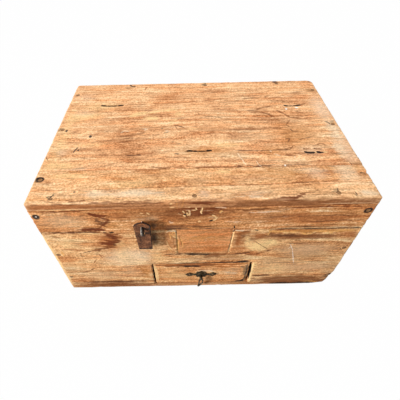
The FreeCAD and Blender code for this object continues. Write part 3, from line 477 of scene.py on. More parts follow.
        # The fine grain lies over the marks too.
        ridges = add(tree, "Math", {0: streaks, 1: fibres}, operation="ADD").outputs[0]
        fine = add(tree, "MapRange", {"Value": ridges, "From Min": 0.66, "From Max": 1.34,
                                      "To Min": 1.0 - self.grit, "To Max": 1.0 + self.grit * 0.9})
        colour = add(tree, "VectorMath", {0: colour, "Scale": fine.outputs[0]}, operation="SCALE").outputs[0]
        # The rubbed arrises show paler, cleaner wood.
        worn = add(tree, "Attribute", attribute_name="wear")
        paled = add(tree, "Math", {0: worn.outputs["Fac"], 1: self.rubbed}, operation="MULTIPLY")
        colour = add(tree, "Mix", {0: paled.outputs[0], 6: colour, 7: linear(self.pale)}, data_type="RGBA").outputs[2]
        grooves = add(tree, "Math", {0: veins, 1: -0.8, 2: ridges}, operation="MULTIPLY_ADD")
        bump = add(tree, "Bump", {"Height": grooves.outputs[0], "Strength": 0.7, "Distance": 0.8 * MM})
        dull = add(tree, "MapRange", {"Value": streaks, "To Min": 0.65, "To Max": 0.88})
        surface = add(tree, "BsdfPrincipled", {"Base Color": colour, "Roughness": dull.outputs[0],
                                               "Normal": bump.outputs[0], "IOR": 1.5,
                                               "Specular IOR Level": 0.15})
        add(tree, "OutputMaterial", {0: surface.outputs[0]})
        return material


# The staple's painted shadow on the strap, cast by its two legs, painted shade down the strap's right edge and a
# painted highlight along its head, with black scale about its head and foot.
STRAP_MARKS = (
    # painted shadow of the staple's upper and lower legs
    *metal_line(SOOT_AND_SHADE, 2.7, 1, (-104, 249), (-99, 244), (-91, 245), soft=0.3),
    *metal_line(SOOT_AND_SHADE, 2.9, 1, (-104, 233), (-93, 232), soft=0.3),
    *metal_line(SOOT_AND_SHADE, 2.4, 1, (-118, 262), (-112, 266), (-105, 267)),
    *metal_line(SOOT_AND_SHADE, 2.7, 1, (-101, 263), (-96, 260), (-92, 256)),
    *metal_line(RUST, 2, 0.9, (-112, 257), (-104, 259), (-100, 256)),
    # painted shade down the right edge, which turns from the lamp
    *metal_line(SOOT_AND_SHADE, 2.4, 1, (-92, 259), (-91.5, 224), (-93, 185)),
    # painted highlight along the upper edge of the head
    *metal_line(CHALK_AND_HIGHLIGHT, 1.5, 0.9, (-116, 265), (-110, 269), (-103, 269)),
    *metal_line(SOOT_AND_SHADE, 4.1, 0.95, (-119, 183), (-115, 183)),
    *metal_line(SOOT_AND_SHADE, 3.8, 0.9, (-111, 182), (-106, 182)),
    *metal_line(SOOT_AND_SHADE, 3.7, 0.95, (-99, 183), (-94, 185)),
)

# Painted highlight down the left side of the staple's bar, toward the lamp, and painted shade down its right.
STAPLE_PAINTED_LIGHT_AND_SHADE = (
    *metal_line(SOOT_AND_SHADE, 2.4, 1, (-104.4, 260), (-104.4, 244), (-104.6, 226), soft=0.3),
    *metal_line(CHALK_AND_HIGHLIGHT, 1.1, 1, (-107.7, 257), (-107.9, 247), (-107.5, 236)),
)

# The black head of the rail's left nail, with a painted highlight at its middle.
RAIL_NAIL_MARKS = (
    Mark(SOOT_AND_SHADE, (-289, 266.5), (6.5, 6.5), 0.95, soft=0.2, frayed=False, depth=DEEP),
    Mark(CHALK_AND_HIGHLIGHT, (-290, 267), (1.5, 1.7), 1, soft=0.5, frayed=False, depth=DEEP),
)


@dataclass(frozen=True)
class Metal:
    """Old metal: bare where it is rubbed, rusted or browned in its hollows, and of its own colour on its rims."""

    name: str
    bare: str
    skin: str
    deep: str
    rim: str
    metallic: float = 0.6
    roughness: float = 0.55
    grain: float = 3.0
    bump: float = 0.3
    marks: tuple[Mark, ...] = ()

    def material(self) -> bpy.types.Material:
        """Builds the metal's material.

        Returns:
            The material.
        """
        material = bpy.data.materials.new(self.name)
        tree = cleared(material)
        place = add(tree, "TexCoord")
        fine = add(tree, "TexNoise", {"Vector": place.outputs["Object"], "Scale": 1000 / self.grain,
                                      "Detail": 5.0, "Roughness": 0.65})
        broad = add(tree, "TexNoise", {"Vector": place.outputs["Object"], "Scale": 1000 / (self.grain * 4),
                                       "Detail": 3.0})
        both = add(tree, "Math", {0: fine.outputs[0], 1: broad.outputs[0]}, operation="ADD")
        half = add(tree, "Math", {0: both.outputs[0], 1: 0.5}, operation="MULTIPLY")
        tone = add(tree, "ValToRGB", {"Fac": half.outputs[0]},
                   [(0.36, self.deep), (0.5, self.skin), (0.64, self.bare)])
        worn = add(tree, "Attribute", attribute_name="wear")
        patchy = add(tree, "Math", {0: worn.outputs["Fac"], 1: half.outputs[0]}, operation="MULTIPLY")
        edge = add(tree, "MapRange", {"Value": patchy.outputs[0], "From Min": 0.1, "From Max": 0.45, "To Max": 0.85})
        colour = add(tree, "Mix", {0: edge.outputs[0], 6: tone.outputs[0], 7: linear(self.rim)},
                     data_type="RGBA").outputs[2]
        if self.marks:
            mm = add(tree, "VectorMath", {0: place.outputs["Object"], "Scale": 1000.0}, operation="SCALE")
            for mark in self.marks:
                colour = mark.lay(tree, Plane.FRONT, {False: mm.outputs[0]}, half.outputs[0], colour)
        rubbed = add(tree, "MapRange", {"Value": half.outputs[0], "From Min": 0.4, "From Max": 0.65,
                                        "To Min": self.metallic * 0.4, "To Max": self.metallic})
        rough = add(tree, "MapRange", {"Value": half.outputs[0], "From Min": 0.35, "From Max": 0.65,
                                       "To Min": min(1.0, self.roughness + 0.25),
                                       "To Max": self.roughness - 0.1})
        bump = add(tree, "Bump", {"Height": fine.outputs[0], "Strength": self.bump, "Distance": 0.4 * MM})
        surface = add(tree, "BsdfPrincipled", {"Base Color": colour, "Metallic": rubbed.outputs[0],
                                               "Roughness": rough.outputs[0], "Normal": bump.outputs[0]})
        add(tree, "OutputMaterial", {0: surface.outputs[0]})
        return material


class Finish(Enum):
    """The metals of the fittings. Each makes its material once."""

    # Brown hammered iron gone dull, for the hinges at the back.
    IRON = Metal("wrought_iron_browned", "#8a6a4c", "#5a4433", "#33261d", "#97785a")
    # A thin even rust with black scale along the rims, for the hasp's strap, which also carries the staple's painted
    # shadow, painted shade down its right edge and a painted highlight on its head.
    RUST = Metal("wrought_iron_rusted", "#a9704a", "#7a4a2b", "#402618", "#1a1411", metallic=0.2, roughness=0.7,
                 marks=STRAP_MARKS)
    # A sharp white highlight down the round bar's left and black shade down its right are painted on; its metal is
    # duller so that the painted highlight shows.
    BRIGHT = Metal("wrought_iron_painted_light_and_shade", "#cfc8bd", "#4a433c", "#171310", "#8d857a", metallic=0.45, roughness=0.3,
                   marks=STAPLE_PAINTED_LIGHT_AND_SHADE)
    # Nearly black in the hollows, with yellow metal on the high places.
    BRASS = Metal("cast_brass_aged", "#96805a", "#352b1c", "#15110c", "#574a30", metallic=0.75, roughness=0.42,
                  grain=2.0)
    # Black in its hollows, and rubbed bright where a hand takes it.
    RUBBED_BRASS = Metal("cast_brass_handled", "#b0a78e", "#30271b", "#120e09", "#5c4f39", metallic=0.5,
                         roughness=0.4, grain=2.0)
    # Heads level with the wood and stained the same brown.
    NAIL = Metal("nail_heads_rusted_flush", "#bb9468", "#95693f", "#553621", "#4a3222", metallic=0.15, roughness=0.8)
    # The same, but for the rail's left nail, which is black with a painted highlight at its middle.
    RAIL_NAIL = Metal("nail_heads_one_blackened", "#bb9468", "#95693f", "#553621", "#4a3222", metallic=0.15,
                      roughness=0.8, marks=RAIL_NAIL_MARKS)

    def material(self) -> bpy.types.Material:
        """Gives the finish's material, made when it is first asked for."""
        return bpy.data.materials.get(self.value.name) or self.value.material()


@dataclass(frozen=True)
class Fitting:
    """A metal piece from its CAD solid, its arrises eased and its faces hammered and pitted a little inward."""

    node: str
    body: str
    slot: str
    finish: Finish
    ease: float = 0.5
    cell: float = 2.0
    dent: float = 0.3
    dent_size: float = 7.0
    pit: float = 0.3
    pit_size: float = 1.7
    sharp: float = 38.0
    rim: float = 1.6
    rounds: int = 3

    def build(self) -> bpy.types.Object:
        """Builds and seats the fitting.

        Returns:
            The fitting's object.
        """
        bm = bmesh.new()
        bm.from_mesh(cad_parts[self.node].data)
        bmesh.ops.remove_doubles(bm, verts=bm.verts[:], dist=0.001 * MM)
        bmesh.ops.dissolve_limit(bm, angle_limit=math.radians(1.0), verts=bm.verts[:], edges=bm.edges[:])
        bmesh.ops.recalc_face_normals(bm, faces=bm.faces[:])
        arrises = [e for e in bm.edges if e.calc_face_angle(0.0) > math.radians(self.sharp)]
        rims = self.rims(arrises)
        bmesh.ops.bevel(bm, geom=arrises, offset=self.ease * MM, segments=2, profile=0.5, affect="EDGES",
                        material=-1, clamp_overlap=True)
        bmesh.ops.triangulate(bm, faces=bm.faces[:])
        # An edge half as long again as a cell is halved, round by round.
        for _ in range(self.rounds):
            long = [e for e in bm.edges if e.calc_length() > self.cell * MM * 1.5]
            bmesh.ops.subdivide_edges(bm, edges=long, cuts=1)
            bmesh.ops.triangulate(bm, faces=[f for f in bm.faces if len(f.verts) > 3])
        bm.normal_update()
        worn = self.hammer(bm, rims)
        return seat(bm, f"aged_{self.node}", self.body, [self.finish.material()], (self.node,), worn)

    def rims(self, arrises: list[bmesh.types.BMEdge]) -> kdtree.KDTree:
        """Sets points a millimetre apart along the arrises, so that the wear is measured from them.

        Args:
            arrises: the sharp edges, before they are eased.

        Returns:
            The points.
        """
        along = [e.verts[0].co.lerp(e.verts[1].co, k / parts) for e in arrises
                 for parts in [max(1, math.ceil(e.calc_length() / MM))] for k in range(parts + 1)]
        points = kdtree.KDTree(len(along))
        for k, place in enumerate(along):
            points.insert(place, k)
        points.balance()
        return points

    def hammer(self, bm: bmesh.types.BMesh, rims: kdtree.KDTree) -> list[float]:
        """Hammers and pits the faces, always a little inwards.

        Args:
            bm: the fitting, changed in place.
            rims: points along its arrises.

        Returns:
            How rubbed each vertex is, 1 on an arris to 0 a rim's width away from it.
        """
        worn = []
        for vert, normal in [(v, v.normal.copy()) for v in bm.verts]:
            away = rims.find(vert.co)[2]
            worn.append(0.0 if away is None else max(0.0, 1.0 - away / (self.rim * MM)))
            place = vert.co / MM
            hollow = 0.5 + 0.5 * noise.noise(place / self.dent_size)
            pit = max(0.0, noise.noise(place / self.pit_size)) * self.pit
            vert.co -= normal * (self.dent * MM * (hollow + pit))
        return worn


@dataclass(frozen=True)
class Cut:
    """A rectangle in a board's face, in millimetres along the face's two axes."""

    u: Pair
    v: Pair
    depth: float = 0.0

    def holds(self, u: float, v: float) -> bool:
        """Says whether a point of the face lies in the rectangle."""
        return self.u[0] < u < self.u[1] and self.v[0] < v < self.v[1]


@dataclass(frozen=True)
class Knock:
    """A place where blows have worn the arrises further: by how much, and how far about it, in millimetres."""

    at: Triple
    extra: float
    far: float

    def at_point(self, point: Vector) -> float:
        """Says how much further the arrises are worn at a point."""
        return self.extra * max(0.0, 1.0 - (point - Vector(self.at)).length / self.far)


@dataclass(frozen=True)
class Taper:
    """How far a long side of a board slopes in at its two ends. Side is 1 for the high one, -1 for the low."""

    side: int
    start: float
    end: float


@dataclass(frozen=True)
class Ageing:
    """How age works on every board. A size is in millimetres, and a noise's scale is per millimetre."""

    # An arris is worn more and less along its length, but never less than the least share, and bitten in places.
    wander: float = 0.045
    wander_share: float = 0.7
    bite: float = 0.11
    bite_from: float = 0.28
    bite_growth: float = 3.5
    least: float = 0.35
    # Only an arris that is worn further than this lies open to blows and hands.
    open_arris: float = 1.5
    # The raised grain's noise.
    along_grain: float = 0.012
    across_grain: float = 0.16
    nail_reach: float = 8.0
    nail_dent: float = 0.9
    # How far in an arris is rubbed pale, and the noise that breaks the paleness up.
    rim: float = 5.0
    patches: float = 0.09
    # A splintered place's ragged edge, as a noise's scale and its reach, coarse and fine, and how it slopes in.
    jag: Pair = (0.07, 5.0)
    fine_jag: Pair = (0.3, 2.0)
    chip_slope: float = 1.5
    # Times a board's seed, its own place in the noise.
    offsets: Triple = (13.7, 5.1, 9.3)
    # The mesh's lines near an arris, so that it is round, and the closest that any two lines stand.
    near_lines: Triple = (0.8, 2.0, 3.6)
    closest: float = 0.3


@dataclass
class WornBoard:
    """One board with rounded, bitten arrises, raised grain and dents about its nails.

    The wear is how far each of its six sides is rounded: left, right, front, back, bottom and top.
    """

    node: str
    body: str
    slot: str
    across: Axis
    finish: Timber
    cell: Pair = (5.0, 3.0)
    wear: tuple[float, float, float, float, float, float] = (2.0,) * 6
    relief: float = 0.35
    cuts: tuple[Cut, ...] = ()
    chips: tuple[Cut, ...] = ()
    knocks: tuple[Knock, ...] = ()
    nails: tuple[Pair, ...] = ()
    taper: Taper | None = None
    corners: dict[tuple[int, int], float] = field(default_factory=dict)
    thick_cell: float = 3.0
    age: Ageing = Ageing()

    def __post_init__(self) -> None:
        """Reads the board's box from the frame, in millimetres."""
        low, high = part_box(self.node)
        self.low = [c / MM for c in low]
        self.high = [c / MM for c in high]
        self.plane = [a for a in range(3) if a != self.across.value]

    def lines(self, axis: int, step: float, fixed: list[float]) -> list[float]:
        """Works out where the grid's lines stand along one axis.

        Args:
            axis: the axis number.
            step: the widest cell, in millimetres.
            fixed: places that must have a line.

        Returns:
            The places in order, in millimetres.
        """
        low, high = self.low[axis], self.high[axis]
        span = high - low
        near = [d for d in self.age.near_lines if d < span / 3]
        stops = sorted({low, high, *fixed, *(low + d for d in near), *(high - d for d in near)})
        stops = [s for i, s in enumerate(stops) if i == 0 or s - stops[i - 1] > self.age.closest or s in fixed]
        full = []
        for start, end in zip(stops, stops[1:]):
            parts = max(1, math.ceil((end - start) / step))
            full += [start + (end - start) * k / parts for k in range(parts)]
        return full + [stops[-1]]

    def slab(self) -> bmesh.types.BMesh:
        """Makes the board's plain slab with its cuts: a grid, cut, then drawn out to its thickness.

        Returns:
            The mesh, in millimetres.
        """
        a, b = self.plane
        w = self.across.value
        us = self.lines(a, self.cell[0], [x for c in self.cuts for x in c.u if self.low[a] < x < self.high[a]])
        vs = self.lines(b, self.cell[1], [x for c in self.cuts for x in c.v if self.low[b] < x < self.high[b]])
        ws = self.lines(w, self.thick_cell, [])
        bm = bmesh.new()
        bmesh.ops.create_grid(bm, x_segments=len(us) - 1, y_segments=len(vs) - 1, size=0.5)
        for vert in bm.verts:
            i = round((vert.co.x + 0.5) * (len(us) - 1))
            j = round((vert.co.y + 0.5) * (len(vs) - 1))
            point = [0.0, 0.0, 0.0]
            point[a], point[b], point[w] = us[i], vs[j], self.low[w]
            vert.co = point
        gone = [f for f in bm.faces if any(c.depth == 0 and c.holds(f.calc_center_median()[a],
                                                                     f.calc_center_median()[b]) for c in self.cuts)]
        bmesh.ops.delete(bm, geom=gone, context="FACES")
        grown = bmesh.ops.extrude_face_region(bm, geom=bm.faces[:])["geom"]
        shift = Vector((0, 0, 0))
        shift[w] = self.high[w] - self.low[w]
        bmesh.ops.translate(bm, verts=[g for g in grown if isinstance(g, bmesh.types.BMVert)], vec=shift)
        rungs = [e for e in bm.edges if abs(e.verts[0].co[w] - e.verts[1].co[w]) > 0.1]
        bmesh.ops.subdivide_edges(bm, edges=rungs, cuts=len(ws) - 2, use_grid_fill=True)
        for vert in bm.verts:
            k = round((vert.co[w] - self.low[w]) / shift[w] * (len(ws) - 1))
            vert.co[w] = ws[k]
        for cut in (c for c in self.cuts if c.depth):
            self.sink(bm, cut)
        bmesh.ops.recalc_face_normals(bm, faces=bm.faces[:])
        return bm

    def sink(self, bm: bmesh.types.BMesh, cut: Cut) -> None:
        """Sinks a recess into the board's outer face.

        Args:
            bm: the slab.
            cut: the recess, whose depth is positive from the low side and negative from the high side.
        """
        a, b = self.plane
        w = self.across.value
        side = self.low[w] if cut.depth > 0 else self.high[w]
        floor = [f for f in bm.faces if abs(f.calc_center_median()[w] - side) < LEVEL
                 and cut.holds(f.calc_center_median()[a], f.calc_center_median()[b])]
        moved = bmesh.ops.extrude_face_region(bm, geom=floor)["geom"]
        shift = Vector((0, 0, 0))
        shift[w] = cut.depth
        bmesh.ops.translate(bm, verts=[g for g in moved if isinstance(g, bmesh.types.BMVert)], vec=shift)
        bmesh.ops.delete(bm, geom=[f for f in floor if f.is_valid], context="FACES")

    def weather(self, bm: bmesh.types.BMesh) -> list[float]:
        """Rounds the arrises unevenly, raises the grain and dents the wood about the nails.

        Args:
            bm: the slab, changed in place; everything moves inwards only.

        Returns:
            How worn each vertex is, 0 to 1, in the order of the vertices.
        """
        stretch = [self.age.across_grain] * 3
        stretch[self.finish.grain.value] = self.age.along_grain
        offset = Vector(self.finish.seed * share for share in self.age.offsets)
        worn = []
        for vert in bm.verts:
            place = vert.co.copy()
            rough = noise.noise(place * self.age.wander + offset)
            point, outward = self.eased(place, rough, offset)
            ridge = 0.5 + 0.5 * noise.noise(Vector(place[i] * stretch[i] for i in range(3)) + offset)
            sunk = self.relief * ridge + self.age.nail_dent * self.dented(place) + self.chipped(place, offset)
            worn.append(self.rubbed(place, rough, offset))
            vert.co = point - outward * sunk
        self.round_corners(bm)
        return worn

    def eased(self, place: Vector, rough: float, offset: Vector) -> tuple[Vector, Vector]:
        """Brings a point of the plain slab onto the rounded, bitten arris that is near it.

        Args:
            place: the point, in millimetres.
            rough: the slow noise at the point.
            offset: the board's own place in the noise.

        Returns:
            The point on the rounded board, and the way out of the board there, which is zero inside it.
        """
        bite = max(0.0, noise.noise(place * self.age.bite - offset) - self.age.bite_from) * self.age.bite_growth
        size = max(self.age.least, 1.0 + self.age.wander_share * rough + bite)
        knock = sum(blow.at_point(place) for blow in self.knocks)
        core, outward, reach = Vector(), Vector(), Vector()
        for axis in range(3):
            low, high = (wear * size + (knock if wear > self.age.open_arris else 0.0)
                         for wear in self.wear[2 * axis : 2 * axis + 2])
            core[axis] = min(max(place[axis], self.low[axis] + low), self.high[axis] - high)
            reach[axis] = low if place[axis] < core[axis] else high
            outward[axis] = (place[axis] - core[axis]) / reach[axis] if reach[axis] > 1e-6 else 0.0
        if outward.length > 1.0:
            outward.normalize()
            return Vector(core[i] + outward[i] * reach[i] for i in range(3)), outward
        return place, outward if outward.length >= 0.5 else Vector()

    def dented(self, place: Vector) -> float:
        """Says how deep in a nail's dent a point lies, from 0 outside it to 1 at the nail."""
        a, b = self.plane
        away = min((math.hypot(place[a] - u, place[b] - v) for u, v in self.nails), default=math.inf)
        return max(0.0, 1.0 - away / self.age.nail_reach)

    def rubbed(self, place: Vector, rough: float, offset: Vector) -> float:
        """Says how much hands and cloth have rubbed a point.

        Args:
            place: the point, in millimetres.
            rough: the slow noise at the point.
            offset: the board's own place in the noise.

        Returns:
            1 on an open arris down to 0 some millimetres away from it, and less in patches.
        """
        low, high = self.wear[::2], self.wear[1::2]
        sides = sorted(min(place[i] - self.low[i] if low[i] > self.age.open_arris else math.inf,
                           self.high[i] - place[i] if high[i] > self.age.open_arris else math.inf)
                       for i in range(3))
        edge = max(0.0, 1.0 - sides[1] / (self.age.rim * (1.0 + rough)))
        return min(1.0, max(0.0, edge * (0.6 + 0.8 * noise.noise(place * self.age.patches + offset))))

    def chipped(self, point: Vector, offset: Vector) -> float:
        """Says how deep the splintered places are at a point.

        Args:
            point: the point, in millimetres.
            offset: the board's own place in the noise.

        Returns:
            The depth, in millimetres.
        """
        a, b = self.plane
        deep = 0.0
        (coarse, far), (fine, near) = self.age.jag, self.age.fine_jag
        for chip in self.chips:
            jag = far * noise.noise(point * coarse + offset) + near * noise.noise(point * fine)
            inside = min(point[a] - chip.u[0], chip.u[1] - point[a], point[b] - chip.v[0] + jag,
                         chip.v[1] - point[b])
            deep = max(deep, chip.depth * min(1.0, max(0.0, inside / self.age.chip_slope)))
        return deep

    def round_corners(self, bm: bmesh.types.BMesh) -> None:
        """Rounds the named corners in plan, where knocks have taken the board's corner right off.

        Args:
            bm: the slab, changed in place.
        """
        a, b = self.plane
        for (side_a, side_b), radius in self.corners.items():
            ca = self.high[a] - radius if side_a > 0 else self.low[a] + radius
            cb = self.high[b] - radius if side_b > 0 else self.low[b] + radius
            for vert in bm.verts:
                da, db = (vert.co[a] - ca) * side_a, (vert.co[b] - cb) * side_b
                if da > 0 and db > 0 and (away := math.hypot(da, db)) > 0:
                    share = max(da, db) / away
                    vert.co[a] = ca + da * share * side_a
                    vert.co[b] = cb + db * share * side_b

    def skew(self, bm: bmesh.types.BMesh) -> None:
        """Slopes one long side of the board, for the boards that narrow to one end.

        Args:
            bm: the slab, changed in place.
        """
        a, b = self.plane
        kept, moved = (self.low, self.high) if self.taper.side > 0 else (self.high, self.low)
        for vert in bm.verts:
            along = (vert.co[a] - self.low[a]) / (self.high[a] - self.low[a])
            inward = self.taper.start * (1 - along) + self.taper.end * along
            edge = moved[b] - self.taper.side * inward
            vert.co[b] = kept[b] + (vert.co[b] - kept[b]) * (edge - kept[b]) / (moved[b] - kept[b])

    def woods(self) -> list[Timber]:
        """Cuts the finish in as few equal stretches along X as keep each one's marks to what a shader can hold.

        Returns:
            Each stretch's wood, from the left.
        """
        woods, parts = [self.finish], 1
        while any(sum(map(len, wood.marks.values())) > MOST_MARKS for wood in woods):
            parts += 1
            ends = [self.low[0] + (self.high[0] - self.low[0]) * k / parts for k in range(parts + 1)]
            woods = [self.finish.stretch(start, end) for start, end in zip(ends, ends[1:])]
        return woods

    def build(self) -> bpy.types.Object:
        """Builds, finishes and seats the board.

        Returns:
            The board's object.
        """
        bm = self.slab()
        worn = self.weather(bm)
        if self.taper:
            self.skew(bm)
        woods = self.woods()
        for face in bm.faces:
            along = (face.calc_center_median().x - self.low[0]) / (self.high[0] - self.low[0])
            face.material_index = min(len(woods) - 1, max(0, int(along * len(woods))))
        bmesh.ops.scale(bm, verts=bm.verts[:], vec=(MM, MM, MM))
        return seat(bm, f"worn_{self.node}", self.body, [wood.material() for wood in woods],
                    (self.node,), worn)


def seat(bm: bmesh.types.BMesh, name: str, body: str, materials: list[bpy.types.Material],
         nodes: tuple[str, ...], worn: list[float] | None = None) -> bpy.types.Object:
    """Turns a finished mesh into a piece of the chest.

    Args:
        bm: the mesh, in metres and in place; freed here.
        name: the piece's name.
        body: the body that it moves with.
        materials: its materials, in the order of its faces' numbers.
        nodes: the CAD nodes that it stands for.
        worn: how worn each vertex is, for the material.

    Returns:
        The piece.
    """
    mesh = bpy.data.meshes.new(name)
    bm.to_mesh(mesh)
    bm.free()
    mesh.shade_smooth()
    if worn:
        mesh.attributes.new("wear", "FLOAT", "POINT").data.foreach_set("value", worn)
    for material in materials:
        mesh.materials.append(material)
    piece = bpy.data.objects.new(name, mesh)
    bpy.context.scene.collection.objects.link(piece)
    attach(piece, body)
    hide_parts(*nodes)
    LOG.info("%s: %d faces, rides on %s", name, len(mesh.polygons), body)
    return piece


def sawn(name: str, grain: Axis, seed: float) -> Timber:
    """Gives the wood of an inner board: paler and evener than outside, as no hand or rain has reached it.

    Args:
        name: the board's short name.
        grain: the way its grain runs.
        seed: its own place in the noise.

    Returns:
        The wood.
    """
    return Timber(f"sawn_teak_{name}", grain, dark="#b98050", body="#d4a06c", pale="#e3b684", bleached="#eecb9e",
                  seed=seed, contrast=0.7, grit=0.25)


